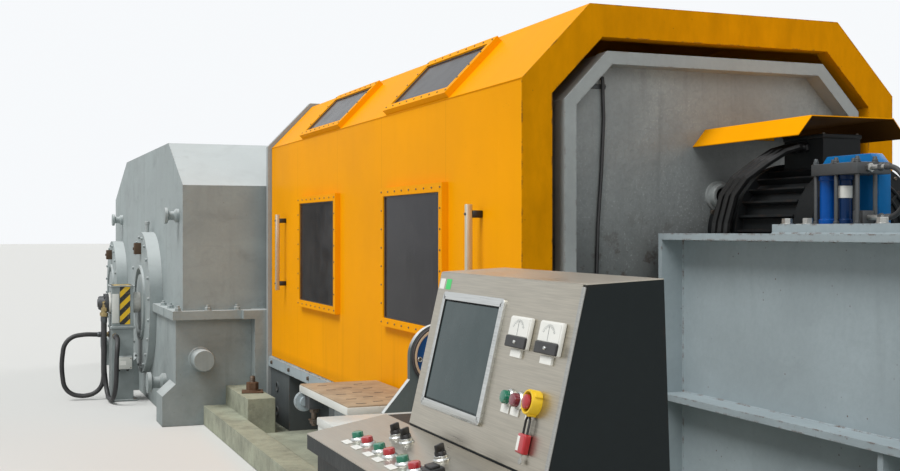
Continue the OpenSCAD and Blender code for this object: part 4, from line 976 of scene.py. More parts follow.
def windows(side):
    """Each window's plane and its frame's lowest and highest corners there."""
    low, high = FRAMES[0][2], FRAMES[0][2] + WINDOW_HEIGHT
    for right in (FRAMES[1][0], FRAMES[0][0] + WINDOW_LENGTH):
        ends = sorted((-side * (right - WINDOW_LENGTH), -side * right))
        yield wall(side), (ends[0], low), (ends[1], high)
        yield slope(side), (ends[0], ROOF_FOOT), (ends[1], ROOF_TOP)


class MILL_OT_windows(Operator):
    """Puts a rubber gasket round each pane and screws along each window frame"""
    bl_idname = "mill.windows"
    bl_label = "Windows"

    def execute(self, context):
        sizes = context.scene.mill_sizes
        gasket, screws = Piece("window_gaskets", "rubber"), Piece("window_screws", "dark_steel")
        for side in SIDES:
            for place, low, high in windows(side):
                inner = [v + FRAME_BAND for v in low], [v - FRAME_BAND for v in high]
                gasket.border(*inner, 0.007, FRAME_PROUD - PANE_SET - 0.001,
                              FRAME_PROUD - PANE_SET + 0.003, place)
                for u, v in round_edge(low, high, FRAME_BAND / 2, sizes.screw_pitch):
                    screws.screw(sizes.frame_screw / 2, shifted(place, u, v, FRAME_PROUD))
        gasket.done("hood")
        screws.done("hood")
        return {"FINISHED"}


class MILL_OT_handles(Operator):
    """Makes the four pull handles: an alloy bar on two black blocks"""
    bl_idname = "mill.handles"
    bl_label = "Pull handles"

    def execute(self, context):
        low, high = HANDLES
        bars = Piece("handle_bars", "handle_alloy", "dark_steel")
        blocks = Piece("handle_blocks", "black_plastic")
        half = abs(FRONT[0][1])
        reach_in, reach_out, block = high[1] - GRIP_DEPTH, high[1], 0.018
        for side in SIDES:
            place = mirrored(side)
            for x in (low[0] + block, high[0] - block):
                bars.block((x - GRIP_HALF, reach_in, low[2]),
                           (x + GRIP_HALF, reach_out, high[2]), 0.004, place, steps=3)
                for share in GRIP_FEET:
                    z = low[2] + share * (high[2] - low[2])
                    blocks.block((x - block, half, z - block),
                                 (x + block, reach_in, z + block), 0.004, place, steps=2)
                    bars.screw(0.007, at((x, side * reach_out, z), (0, side, 0)), 1)
        bars.done("hood", replaces=("hood_handles",))
        blocks.done("hood", replaces=("hood_handles",))
        return {"FINISHED"}


class MILL_OT_hood_trim(Operator):
    """Adds the beads along the hood's shoulders and the hem along its foot"""
    bl_idname = "mill.hood_trim"
    bl_label = "Hood trim"

    def execute(self, context):
        hem = Piece("hood_hem", "hood")
        half, foot = abs(FRONT[0][1]), FRONT[0][2]
        for side in SIDES:
            place = mirrored(side)
            hem.block((FRONT[0][0], half - 0.004, foot), (FRONT[1][0], half + 0.003, foot + 0.012),
                      0.0015, place)
            bead = at((FRONT[0][0], side * half, SHOULDER), FORE)
            hem.disc(0.004, FRONT[1][0] - FRONT[0][0], bead, steps=10)
        hem.done("hood")
        return {"FINISHED"}


# The crank housing

# The bearing covers: each one's X and radius, then the height of both and how far out they stand
COVER_DISCS = ((-7.032, 0.68), (-9.772, 0.57))
SHAFT_Z, COVER_FACE, COVER_BOLT_INSET = 0.93, 1.862, 0.05
# The split flange: its bolts' inset, its end towards the mill and the bolts of that end
FLANGE_INSET, FLANGE_END, FLANGE_END_BOLTS = 0.048, -5.154, (1.3, 1.545)
# Degrees that each nut is turned past the one before
NUT_TURN = 23.0
BLOCK_DROP, BLOCK_OUT = 0.16, 0.062
BREATHER_Y, BOSS_Y, BOSS_Z = 1.8, 1.6, 0.555
NECK_WELD, NECK_WELD_Z = 1.17, 0.957
UNION_BOLTS, UNION_BOLT_RING = 8, 0.078
# The bracket: how far its junction box stands out, its ledge, and the box's glands, foot and top
BRACKET_STEP, BRACKET_SHELF, GLAND_Z = 0.09, 0.688, 0.311
BOX_LOW_Z, BOX_HIGH_Z = 0.314, 0.426


class MILL_OT_housing_bolts(Operator):
    """Sets the bolts along the split flange and round the bearing covers"""
    bl_idname = "mill.housing_bolts"
    bl_label = "Housing bolts"

    def execute(self, context):
        sizes = context.scene.mill_sizes
        bolts, screws = Piece("flange_bolts", "housing"), Piece("cover_screws", "housing")
        edge, top = FLANGE[1][1] - FLANGE_INSET, FLANGE[1][2]
        near, far = FLANGE_END, FLANGE[0][0] + FLANGE_INSET
        places = [(far, y) for y in spread(-edge, edge, sizes.bolt_pitch)]
        for side in SIDES:
            places += [(x, side * edge) for x in spread(far, near, sizes.bolt_pitch)[1:]]
            places += [(near, side * y) for y in FLANGE_END_BOLTS]
        for count, (x, y) in enumerate(places):
            place = at((x, y, top), UP, count * NUT_TURN)
            bolts.nut(sizes.flange_bolt, sizes.flange_bolt * 0.62, place)
            bolts.disc(sizes.flange_bolt * 0.3, sizes.flange_bolt * 1.0, place, steps=12)
        for side in SIDES:
            for x, radius in COVER_DISCS:
                for a, b in ring_of(sizes.cover_bolts, radius - COVER_BOLT_INSET, 0.1):
                    place = at((x + a, side * COVER_FACE, SHAFT_Z + b), (0, side, 0))
                    screws.nut(sizes.cover_bolt, 0.018, place)
        bolts.done()
        screws.done()
        return {"FINISHED"}


class MILL_OT_housing_fittings(Operator):
    """Adds the housing's brown blocks, breathers, side bosses and the weld bead of its neck"""
    bl_idname = "mill.housing_fittings"
    bl_label = "Housing fittings"

    def execute(self, context):
        blocks, pipes = Piece("cover_blocks", "brown_block", "bolt_steel"), Piece("breather", "pale_grey")
        bosses, beads = Piece("side_bosses", "housing"), Piece("housing_welds", "housing")
        for side in SIDES:
            for x, radius in COVER_DISCS:
                z, out = SHAFT_Z + radius - BLOCK_DROP, COVER_FACE + BLOCK_OUT
                blocks.block((x - 0.045, COVER_FACE - 0.004, z - 0.055), (x + 0.045, out, z + 0.055), 0.006,
                             mirrored(side), steps=2)
                blocks.nut(0.024, 0.012, at((x, side * out, z), (0, side, 0)), 1)
            x, radius = COVER_DISCS[0]
            pipes.lathe([(0.019, -0.03), (0.019, 0.07), (0.024, 0.074), (0.024, 0.098), (0.018, 0.104)],
                        at((x, side * BREATHER_Y, SHAFT_Z + radius)), steps=20)
            boss = at((HOUSING_X, side * BOSS_Y, BOSS_Z), FORE)
            bosses.lathe([(0.084, 0.0), (0.084, 0.05), (0.088, 0.056), (0.088, 0.207), (0.083, 0.215)],
                         boss, steps=40)
            bosses.turned([(0.098, 0.0), (0.09, 0.01), (0.08, 0.012), (0.08, 0.0)], boss, steps=40)
        beads.bar([(HOUSING_X, y, NECK_WELD_Z) for y in (-NECK_WELD, NECK_WELD)], 0.006)
        blocks.done()
        pipes.done()
        bosses.done(replaces=("side_boss",))
        beads.done()
        return {"FINISHED"}


class MILL_OT_rotary_union(Operator):
    """Makes the rotary union: shaft end, steel drum, brass elbows and the plugs in the bracket"""
    bl_idname = "mill.rotary_union"
    bl_label = "Rotary union"

    def execute(self, context):
        shaft = Piece("crank_shaft_end", "shaft_steel", "dark_steel")
        brass = Piece("union_fittings", "brass", "bolt_steel")
        x, face = COVER_DISCS[0][0], BRACKET[0][1]
        place = at((x, face, SHAFT_Z), NEAR)
        start = face - UNION[1][1]
        shaft.lathe([(0.1, start), (0.1, -0.31), (0.096, -0.3), (0.096, -0.27), (0.1, -0.26), (0.1, 0.014),
                     (0.094, 0.02)], place, steps=64)
        shaft.lathe([(0.088, 0.02), (0.09, 0.026), (0.09, 0.05), (0.084, 0.056), (0.07, 0.056),
                     (0.066, 0.062), (0.066, 0.1), (0.058, 0.112), (0.04, 0.112), (0.038, 0.12)],
                    place, 1, 48)
        for a, b in ring_of(UNION_BOLTS, UNION_BOLT_RING):
            shaft.nut(0.018, 0.01, at((x + a, face - 0.056, SHAFT_Z + b), NEAR), 1)
        tops = [HOSES[name][0] for name in sorted(HOSES)]
        brass.rod(0.027, max(tops) - min(tops), at((min(tops), HOSE_Y, SHAFT_Z), FORE))
        for top in tops:
            place = at((top, HOSE_Y, HOSE_TOP))
            rise = SHAFT_Z - HOSE_TOP
            brass.turned([(0.0, 0.0), (0.022, 0.0), (0.022, rise), (0.028, rise + 0.01),
                          (0.0, rise + 0.03)], place, steps=24)
            for low, flats in ((0.0, 0.058), (0.052, 0.054)):
                brass.nut(flats, 0.034, raised(place, low), washer=False)
        for facts in HOSES.values():
            way = facts[1]
            back = at(hose_route(*facts)[-1], (-way[0], -way[1], 0))
            brass.rod(0.022, 0.05, back, steps=20)
            brass.nut(0.048, 0.022, raised(back, 0.002), washer=False)
            brass.nut(0.052, 0.012, raised(back, 0.038), 1, washer=False)
        shaft.done(replaces=("rotary_union",))
        brass.done(replaces=("rotary_union",))
        return {"FINISHED"}


class MILL_OT_bracket_fittings(Operator):
    """Adds the bracket's striped plates, pale cheek, ledges, foot plate and the lid of its junction box"""
    bl_idname = "mill.bracket_fittings"
    bl_label = "Bracket fittings"

    def execute(self, context):
        low, high = BRACKET
        face = high[0] - BRACKET_STEP
        stripe, side = Piece("stripe_plate", "warning_stripes"), Piece("bracket_cheek", "side_box")
        sheet = Piece("bracket_plates", "housing", "bolt_steel")
        stripe.block((face - 0.0005, low[1] + 0.073, 0.73),
                     (face + 0.003, low[1] + 0.168, high[2] - 0.012), 0.001)
        stripe.block((low[0] + 0.03, low[1] + 0.02, high[2] - 0.001),
                     (face - 0.002, high[1] - 0.02, high[2] + 0.002), 0.0005)
        side.block((face - 0.0005, low[1] + 0.002, 0.742), (face + 0.014, low[1] + 0.066, 1.022),
                   0.006, steps=2)
        sheet.block((low[0] - 0.014, low[1] - 0.01, BRACKET_SHELF),
                    (face + 0.016, high[1] + 0.012, BRACKET_SHELF + 0.024), 0.003)
        sheet.block((low[0] - 0.012, low[1] - 0.012, high[2] - 0.012),
                    (face + 0.012, high[1] + 0.012, high[2]), 0.003)
        sheet.block((low[0] - 0.03, low[1] - 0.03, 0.0), (face + 0.03, high[1] + 0.03, 0.016), 0.003)
        for x in (low[0] - 0.012, face + 0.012):
            for y in (low[1] - 0.012, high[1] + 0.012):
                sheet.nut(0.022, 0.012, at((x, y, 0.016)), 1)
        lid = Piece("junction_lid", "side_box", "bolt_steel", "white_plastic")
        glands = Piece("glands", "black_plastic")
        box_low = (high[0] - 0.002, low[1] + 0.024, BOX_LOW_Z)
        box_high = (high[0] + 0.008, high[1] - 0.024, BOX_HIGH_Z)
        lid.block(box_low, box_high, 0.003, steps=2)
        lid.block((box_high[0] - 0.001, low[1] + 0.06, 0.352),
                  (box_high[0] + 0.001, low[1] + 0.12, 0.39), 0.0004, paint=2)
        for y in (box_low[1] + 0.012, box_high[1] - 0.012):
            for z in (box_low[2] + 0.012, box_high[2] - 0.012):
                lid.screw(0.005, at((box_high[0], y, z), FORE), 1)
        for y in (low[1] + 0.06, high[1] - 0.06):
            glands.gland(0.013, at((face + 0.045, y, GLAND_Z), DOWN))
        for piece in (stripe, side, sheet, lid, glands):
            piece.done()
        return {"FINISHED"}


# Beside the hood

ANCHOR_INSET, WASHER_HALF = 0.085, 0.085
THREADS, THREAD_PITCH = 7, 0.008
# The columns: where each starts along the mill, their length, and their holes
COLUMN_STARTS, COLUMN_LENGTH = (-4.97, -3.19, -1.41, -0.63, 0.96), 0.63
HOLE_OUT, HOLE_HEIGHTS = 0.23, (0.15, 0.35)
RAIL_BOLTS, RAIL_BOLT_PITCH = (-4.85, -0.15), 0.6
# The side table: where its pedestal ends, its slab and the plate on it with its rows of slots
TABLE_BACK, TABLE_SLAB, TABLE_SKIN = -1.07, 0.05, 0.008
SLOT_ROWS, SLOTS = (0.1, 0.21, 0.32), (0.14, 0.34, 0.54, 0.74, 0.92)
CLAMP_SCREW = (0.065, 0.045)
# The guide wheel's collars and hub, then its bracket's bolts and weld
COLLARS, COLLAR_RING, COLLAR_START = 5, 0.1115, math.radians(185)
WHEEL_HUB = 0.0185
BRACKET_BOLTS = ((-1.545, 0.745), (-1.44, 0.72), (-1.22, 0.62), (-1.22, 0.3))
BRACKET_WELD, BRACKET_WELD_Z = (-1.262, -1.173), 0.052


class MILL_OT_anchors(Operator):
    """Makes the anchor bolts on the piers: washer plate, nut and threaded stud"""
    bl_idname = "mill.anchors"
    bl_label = "Anchor bolts"

    def execute(self, context):
        low, high = ANCHORS
        piece = Piece("anchor_studs", "rust_steel", "bolt_steel")
        x, y = (low[0] + high[0]) / 2, high[1] - ANCHOR_INSET
        for side in SIDES:
            foot = at((x, side * y, low[2]), UP, 12.0 * side)
            piece.block((-WASHER_HALF, -WASHER_HALF, 0.0), (WASHER_HALF, WASHER_HALF, 0.012), 0.003, foot)
            piece.nut(0.085, 0.07, raised(foot, 0.012))
            stud = [(0.0, 0.06), (0.024, 0.06)]
            for turn in range(THREADS):
                stud += [(0.024, 0.068 + turn * THREAD_PITCH), (0.021, 0.072 + turn * THREAD_PITCH)]
            piece.turned([*stud, (0.02, 0.128), (0.016, 0.132), (0.0, 0.132)], foot, 1, 20)
        piece.done(replaces=("anchor_bolts",))
        return {"FINISHED"}


class MILL_OT_columns(Operator):
    """Rims the columns' holes, lays the weld beads at their heads and bolts the rails down"""
    bl_idname = "mill.columns"
    bl_label = "Column fittings"

    def execute(self, context):
        rims, bolts = Piece("column_hole_rims", "column"), Piece("rail_bolts", "bolt_steel")
        face, top = COLUMNS[1][1], RAILS[1][2]
        for side in SIDES:
            for x in COLUMN_STARTS:
                for z in HOLE_HEIGHTS:
                    hole = at((x + HOLE_OUT, side * face, z), (0, side, 0))
                    rims.turned([(0.031, -0.004), (0.031, 0.006), (0.033, 0.008), (0.041, 0.007),
                                 (0.043, -0.004)], hole, steps=28)
                rims.bar([(end, side * face, RAILS[0][2]) for end in (x, x + COLUMN_LENGTH)], 0.005)
            for x in spread(*RAIL_BOLTS, RAIL_BOLT_PITCH):
                bolts.nut(0.024, 0.014, at((x, side * RAILS[1][1], (top + RAILS[0][2]) / 2), (0, side, 0)))
        rims.done()
        bolts.done()
        return {"FINISHED"}


class MILL_OT_side_table(Operator):
    """Makes the side table: a rusty slotted plate on a grey slab, with its slots drawn in painted shade,
    its pedestal and the screw clamp below
    """
    bl_idname = "mill.side_table"
    bl_label = "Side table"

    def execute(self, context):
        low, high = TABLE
        table = Piece("side_table_top", "table_steel", "side_box", "deep_shadow", "bed")
        under = high[2] - TABLE_SLAB
        table.block((low[0], low[1], under), (high[0], high[1], high[2] - TABLE_SKIN), 0.003,
                    paint=1, steps=2)
        table.block((low[0] + 0.004, low[1] + 0.004, high[2] - 0.01),
                    (high[0] - 0.004, high[1] - 0.004, high[2]), 0.002, steps=2)
        # The slots are dark blocks in painted shade, set in the plate.
        for row, y in enumerate(SLOT_ROWS):
            for x in SLOTS[row % 2:]:
                mid = Matrix.Translation((low[0] + x - 0.05 * (row % 2), low[1] + y, high[2]))
                table.block((-0.007, -0.028, -0.002), (0.007, 0.028, 0.0004), 0.0,
                            spun(mid, 8 * row - 6), 2)
        table.block((low[0] + 0.12, low[1] + 0.18, low[2]), (high[0] - 0.06, TABLE_BACK, under), 0.006,
                    paint=3, steps=2)
        table.block((low[0] + 0.09, low[1] + 0.15, low[2]),
                    (high[0] - 0.03, TABLE_BACK, low[2] + 0.02), 0.004, paint=3)
        table.bar([(x, low[1] + 0.18, low[2] + 0.02) for x in (low[0] + 0.12, high[0] - 0.06)], 0.006,
                  paint=3)
        table.done(replaces=("side_table",))

        clamp = Piece("table_clamp", "dark_steel", "bed", "bolt_steel")
        corner = Vector((low[0] + 0.03, low[1] + 0.02, under))
        clamp.lathe([(0.056, -0.012), (0.06, -0.006), (0.06, 0.008), (0.054, 0.014), (0.03, 0.014),
                     (0.026, 0.03)], at(corner + Vector((0.0, 0.0, -0.05)), FORE), 1, 32)
        clamp.block((corner.x + 0.01, corner.y, corner.z - 0.085),
                    (corner.x + 0.12, corner.y + 0.09, corner.z), 0.006, steps=2)
        screw, lower = (at(corner + Vector((*CLAMP_SCREW, -down)), DOWN) for down in (0.085, 0.15))
        clamp.lathe([(0.016, 0.0), (0.016, 0.1), (0.013, 0.104)], screw, 2, 16)
        for place in (screw, lower):
            clamp.nut(0.046, 0.026, place, 2)
        clamp.done()
        return {"FINISHED"}


class MILL_OT_guide_wheel(Operator):
    """Makes the guide wheel: dark tyre, pale ring, blue web with collars, hub, and its bracket's bolts"""
    bl_idname = "mill.guide_wheel"
    bl_label = "Guide wheel"

    def execute(self, context):
        low, high = WHEEL
        centre = [(a + b) / 2 for a, b in zip(low, high)]
        place, radius, half = at(centre, FORE), (high[2] - low[2]) / 2, (high[0] - low[0]) / 2
        wheel = Piece("guide_wheel_parts", "tyre", "wheel_ring", "wheel_blue", "bolt_steel", "machined")
        inner, groove = radius - 0.015, radius - 0.010
        wheel.turned([(inner, -half), (radius - 0.002, -half), (radius, 0.002 - half), (radius, -0.007),
                      (groove, -0.003), (groove, 0.003), (radius, 0.007), (radius, half - 0.002),
                      (radius - 0.002, half), (radius - 0.006, half), (radius - 0.008, half - 0.003),
                      (inner, half - 0.003), (inner, -half)], place, steps=96)
        wheel.turned([(radius - 0.02, 0.001 - half), (inner, 0.001 - half), (inner, half - 0.003),
                      (radius - 0.0085, half - 0.003), (radius - 0.0085, half - 0.001),
                      (radius - 0.01, half), (radius - 0.018, half), (radius - 0.02, half - 0.002),
                      (radius - 0.02, 0.001 - half)], place, 1, 96)
        wheel.turned([(0.04, -0.011), (radius - 0.019, -0.009), (radius - 0.019, 0.004), (0.06, 0.004),
                      (0.04, 0.009), (0.04, -0.011)], place, 2, 72)
        wheel.turned([(WHEEL_HUB, -half), (0.044, -half), (0.044, half - 0.004), (0.04, half),
                      (WHEEL_HUB, half), (WHEEL_HUB, -half)], place, 4, 40)
        for a, b in ring_of(COLLARS, COLLAR_RING, COLLAR_START):
            collar = shifted(place, a, b, 0.004)
            wheel.turned([(0.0055, 0.0), (0.0125, 0.0), (0.0125, 0.007), (0.011, 0.009), (0.0075, 0.009),
                          (0.0055, 0.006), (0.0055, 0.0)], collar, 4, 32)
            wheel.disc(0.006, 0.002, collar, 3, 0.0005, 16)
        wheel.done("wheel", replaces=("guide_wheel",))

        guard = Piece("wheel_bracket_fittings", "bracket_paint", "bolt_steel")
        face = low[0] - 0.006
        guard.nut(0.03, 0.008, at((high[0] + 0.004, centre[1], centre[2]), FORE), 1)
        for y, z in BRACKET_BOLTS:
            guard.nut(0.024, 0.015, at((face, y, z), FORE), 1)
        guard.bar([(face + 0.001, y, BRACKET_WELD_Z) for y in BRACKET_WELD], 0.005)
        guard.done()
        return {"FINISHED"}


# The end of the mill

# The end plate's boss and the cable's clips
CABLE_BOSS = (0.06, 1.79)
CLIP_HEIGHTS, CLIP_ENDS, CLIP_SCREWS = (0.9, 2.3), (-0.645, -0.565), (-0.64, -0.57)
MOTOR_Y, MOTOR_Z = 0.2, 1.62
# The motor's bolts: how many, the ring's radius, its first turn and its X
FLANGE_RING, END_RING, BACK_RING = (8, 0.288, 0.39), (8, 0.27, 0.2), (10, 0.225, 0.2)
FLANGE_RING_X, BACK_RING_X = 0.25, -0.06
# Its fan grille, terminal lid, lifting eye and glands
GRILLE_RINGS, GRILLE_HALF = (0.055, 0.095, 0.135, 0.175, 0.215), 0.24
LID_X, LID_Y, LID_FOOT = (0.364, 0.646), (0.094, 0.306), 2.024
EYE_X, EYE_RISE = 0.32, 0.305
MOTOR_GLANDS = (0.43, 0.478, 0.526)
CANOPY_ANGLE, CANOPY_BOLTS = (0.02, 0.388), (0.06, 0.2, 0.34)
# The bed's webs and the edges of their flanges
WEBS = ((-0.233, -0.35), (0.633, 0.75))
MOUNT_BOLTS, MOUNT_INSET = (0.9, 1.03, 1.45, 1.58, 2.0, 2.13, 2.55, 2.68), 0.025
# The clamp: each drum's X, radius and paint, then the tie rods and the plates
DRUMS = ((1.079, 0.033, 0), (1.175, 0.027, 1))
TIE_ROD_X, TIE_ROD_Y = (1.056, 1.175, 1.294), (-0.266, -0.184)
HEAD_FACE, FOOT_FACE = 1.308, 1.248
BACK_PLATE, BACK_WIDTH, BACK_CORNER, BACK_THICK = (0.894, -0.06), 0.345, 0.045, 0.06


class MILL_OT_end_plate(Operator):
    """Adds the end plate's cable boss and the cable's clips"""
    bl_idname = "mill.end_plate"
    bl_label = "End plate fittings"

    def execute(self, context):
        face = END_PLATE[1][0]
        boss, clips = Piece("cable_boss", "pale_grey", "deep_shadow"), Piece("cable_clips", "dark_steel")
        hole = at((face, *CABLE_BOSS), FORE)
        boss.turned([(0.04, -0.002), (0.075, -0.002), (0.075, 0.012), (0.062, 0.016), (0.062, 0.045),
                     (0.056, 0.052), (0.044, 0.052), (0.04, 0.046), (0.04, -0.002)], hole, steps=40)
        # The bore is a dark disc in painted shade.
        boss.disc(0.041, 0.004, hole, 1, steps=32)
        for z in CLIP_HEIGHTS:
            clips.block((face - 0.001, CLIP_ENDS[0], z - 0.012),
                        (face + 0.003, CLIP_ENDS[1], z + 0.012), 0.001)
            for y in CLIP_SCREWS:
                clips.screw(0.006, at((face + 0.003, y, z), FORE))
        boss.done()
        clips.done()
        return {"FINISHED"}


class MILL_OT_motor(Operator):
    """Details the drive motor: flange bolts, fan grille, lifting eye, terminal lid and cable glands"""
    bl_idname = "mill.motor"
    bl_label = "Drive motor"

    def execute(self, context):
        y, z, (end, _, top) = MOTOR_Y, MOTOR_Z, MOTOR[1]
        bolts, grille = Piece("motor_bolts", "bolt_steel"), Piece("fan_grille", "motor")
        for a, b in ring_of(*FLANGE_RING):
            bolts.nut(0.026, 0.016, at((FLANGE_RING_X, y + a, z + b), (-1, 0, 0)))
        for a, b in ring_of(*END_RING):
            bolts.screw(0.008, at((end, y + a, z + b), FORE))
        for a, b in ring_of(*BACK_RING):
            bolts.nut(0.022, 0.014, at((BACK_RING_X, y + a * 0.98, z + b * 0.98), FORE), washer=False)
        hub = at((end, y, z), FORE)
        for radius in GRILLE_RINGS:
            grille.turned([(radius, -0.002), (radius, 0.008), (radius + 0.006, 0.011),
                           (radius + 0.012, 0.008), (radius + 0.012, -0.002)], hub, steps=48)
        for turn in range(0, 180, 45):
            grille.block((-GRILLE_HALF, -0.006, -0.002), (GRILLE_HALF, 0.006, 0.007), 0.002,
                         spun(hub, turn))
        grille.lathe([(0.04, 0.0), (0.04, 0.01), (0.03, 0.016)], hub, steps=24)
        bolts.done()
        grille.done()

        lid = Piece("terminal_lid", "motor", "bolt_steel", "side_box")
        glands = Piece("motor_glands", "black_plastic")
        lid.block((LID_X[0], LID_Y[0], LID_FOOT), (LID_X[1], LID_Y[1], top + 0.004), 0.006, steps=2)
        for x in (LID_X[0] + 0.016, LID_X[1] - 0.016):
            for side_y in (LID_Y[0] + 0.016, LID_Y[1] - 0.016):
                lid.screw(0.007, at((x, side_y, top + 0.004)), 1)
        lid.block((0.7, -0.091, z - 0.03), (0.78, -0.088, z + 0.03), 0.001, paint=2)
        eye = at((EYE_X, y, z + EYE_RISE), ACROSS)
        lid.turned([(0.02, -0.006), (0.034, -0.006), (0.037, 0.0), (0.034, 0.006),
                    (0.02, 0.006), (0.017, 0.0), (0.02, -0.006)], eye, 1, 28)
        for x in MOTOR_GLANDS:
            glands.gland(0.021, at((x, 0.1, 1.99), NEAR))
        lid.done()
        glands.done()
        return {"FINISHED"}


class MILL_OT_canopy(Operator):
    """Bolts the canopy's angle to the end plate"""
    bl_idname = "mill.canopy"
    bl_label = "Motor canopy"

    def execute(self, context):
        low, high = CANOPY
        angle, bolts = Piece("canopy_angle", "canopy"), Piece("canopy_bolts", "bolt_steel")
        angle.block((low[0], CANOPY_ANGLE[0], high[2] - 0.045),
                    (low[0] + 0.006, CANOPY_ANGLE[1], high[2] - 0.004), 0.001)
        for y in CANOPY_BOLTS:
            bolts.nut(0.018, 0.01, at((low[0] + 0.006, y, high[2] - 0.026), FORE))
        angle.done()
        bolts.done()
        return {"FINISHED"}


class MILL_OT_bed_fittings(Operator):
    """Lays the weld beads of the run-out bed and sets the mounting plate's bolts"""
    bl_idname = "mill.bed_fittings"
    bl_label = "Run-out bed fittings"

    def execute(self, context):
        sizes = context.scene.mill_sizes
        low, high = GIRDERS
        welds, bolts = Piece("bed_welds", "bed"), Piece("mount_bolts", "machined")
        bead = sizes.weld_bead
        heights = (low[2] + 0.03, MIDDLE_FLANGE - 0.015, MIDDLE_FLANGE + 0.015, high[2] - 0.03)
        for web, edge in WEBS:
            for z in heights:
                welds.bar([(low[0], web, z), (high[0], web, z)], bead)
            for x in (low[0], high[0]):
                for ends in (heights[:2], heights[2:]):
                    welds.bar([(x, web, z) for z in ends], bead)
            welds.bar([(x, edge, heights[2]) for x in (low[0] - 0.03, low[0])], bead * 0.6)
        for x in MOUNT_BOLTS:
            for y in (MOUNT[0][1] + MOUNT_INSET, MOUNT[1][1] - MOUNT_INSET):
                place = at((x, y, MOUNT[1][2]), UP, x * 100.0)
                bolts.nut(sizes.bed_bolt, sizes.bed_bolt * 0.66, place)
        for y in (MOUNT[0][1], MOUNT[1][1]):
            welds.bar([(x, y, MOUNT[0][2]) for x in (MOUNT[0][0], MOUNT[1][0])], bead)
        welds.done()
        bolts.done()
        return {"FINISHED"}


class MILL_OT_clamp(Operator):
    """Makes the clamp unit: two cylinders, six tie rods, head plate, back plate and hose fittings"""
    bl_idname = "mill.clamp"
    bl_label = "Clamp unit"

    def execute(self, context):
        foot, (head, top), y = MOUNT[1][2], CLAMP_HEAD, CLAMP_HOSE_Y
        height = head - foot
        drums = Piece("clamp_drums", "cylinder_blue", "cylinder_dark", "machined", "white_plastic")
        for x, radius, paint in DRUMS:
            place = at((x, y, foot))
            rim = radius + 0.005
            drums.lathe([(rim, 0.0), (rim, 0.016), (radius, 0.02), (radius, height - 0.02),
                         (rim, height - 0.016), (rim, height)], place, paint, 48)
        drums.turned([(0.0274, 0.1), (0.0274, 0.145), (0.0278, 0.146), (0.0278, 0.099), (0.0274, 0.1)],
                     at((DRUMS[1][0], y, foot)), 3, 48)
        drums.done(replaces=("clamp_cylinders",))

        rods = Piece("clamp_rods", "dark_steel", "machined")
        for x in TIE_ROD_X:
            for rod_y in TIE_ROD_Y:
                place = at((x, rod_y, foot))
                rods.lathe([(0.008, 0.0), (0.008, top - foot + 0.018), (0.006, top - foot + 0.022)],
                           place, steps=16)
                rods.nut(0.02, 0.011, raised(place, top - foot))
                rods.nut(0.02, 0.011, place)
        for z in (CLAMP_HOSE_MID - CLAMP_HOSE_TURN, CLAMP_HOSE_MID + CLAMP_HOSE_TURN):
            start = HEAD_FACE if z > head else FOOT_FACE
            place, length = at((start, y, z), FORE), CLAMP_HOSE_END - start
            rods.rod(0.0105, length, place, 1, 20)
            rods.nut(0.03, 0.018, place, 1, washer=False)
            rods.nut(0.026, 0.016, raised(place, length - 0.03), washer=False)
        rods.done(replaces=("clamp_cylinders",))

        plates = Piece("clamp_head_plate", "dark_steel", "clamp_blue", "black_plastic")
        plates.block((1.042, -0.28, head), (HEAD_FACE, -0.12, top), 0.004, steps=2)
        plates.block((FOOT_FACE, -0.25, foot), (HEAD_FACE, -0.2, foot + 0.05), 0.004, steps=2)
        cut, wide, tall = BACK_CORNER, BACK_WIDTH, CLAMP[1][2] - foot
        outline = [(0.0, 0.0), (wide, 0.0), (wide, tall - cut), (wide - cut, tall), (cut, tall),
                   (0.0, tall - cut)]
        back = plane((*BACK_PLATE, foot), FORE, UP)
        plates.prism(outline, BACK_THICK, back, 1, 0.003, 2)
        for u in (0.03, 0.12, wide - 0.03):
            for v in (0.03, tall - 0.07):
                plates.screw(0.008, shifted(back, u, v, BACK_THICK), 2)
        plates.done(replaces=("clamp_plates",))
        return {"FINISHED"}


# The desk

PANEL_UP, PANEL_WIDTH, PANEL_HEIGHT = (0, 0.2267, 0.974), 0.819, 0.414
SHELF_UP = (0, 0.9848, 0.1736)
# The strip on top, the door leaves and the vents at the back
TOP_START, TOP_RUN, TOP_DROP = 0.095, 0.184, 0.009
DOOR_FOOT, DOOR_TOP, LATCH_Z, HINGES_Z = 0.08, 0.96, 0.55, (0.16, 0.88)
VENTS, VENT_PITCH, VENT_HALF = 8, 0.022, 0.16
# Places on the slanted front, and on the shelf below it
SCREEN, SCREEN_SIZE = (0.066, 0.064), (0.396, 0.304)
STICKERS, STICKERS_V = ((0.025, 0), (0.07, 1)), 0.388
METERS, METERS_V, METER_WIDE, METER_TALL, METER_COVER = (0.529, 0.684), 0.261, 0.105, 0.072, 0.36
FRONT_BUTTONS, FRONT_BUTTONS_V = ((0.588, 1), (0.64, 3)), 0.15
SHELF_BUTTONS, SHELF_BUTTONS_V = (0.034, 0.117, 0.217, 0.293, 0.392, 0.474), 0.081
KNOBS, KNOBS_V, KNOB_TURN = (0.12, 0.197, 0.442), 0.158, 30
BUTTON_RADIUS, BUTTON_OUT = 0.015, 0.022
SWITCH_BOX = (0.52, 0.078)
STOP, STOP_SCALE = (0.722, 0.155), 0.72
LOCK, LOCK_SCALE = (0.698, 0.044, 0.004), 0.82


def panel(u, v, out=0.003):
    """A place on the desk's slanted front."""
    return shifted(plane(DESK[0], FORE, PANEL_UP), u, v, out)


def shelf(u, v, out=0.003):
    """A place on the desk's sloping shelf."""
    return shifted(plane((DESK[0][0], *SHELF_LIP), FORE, SHELF_UP), u, v, out)


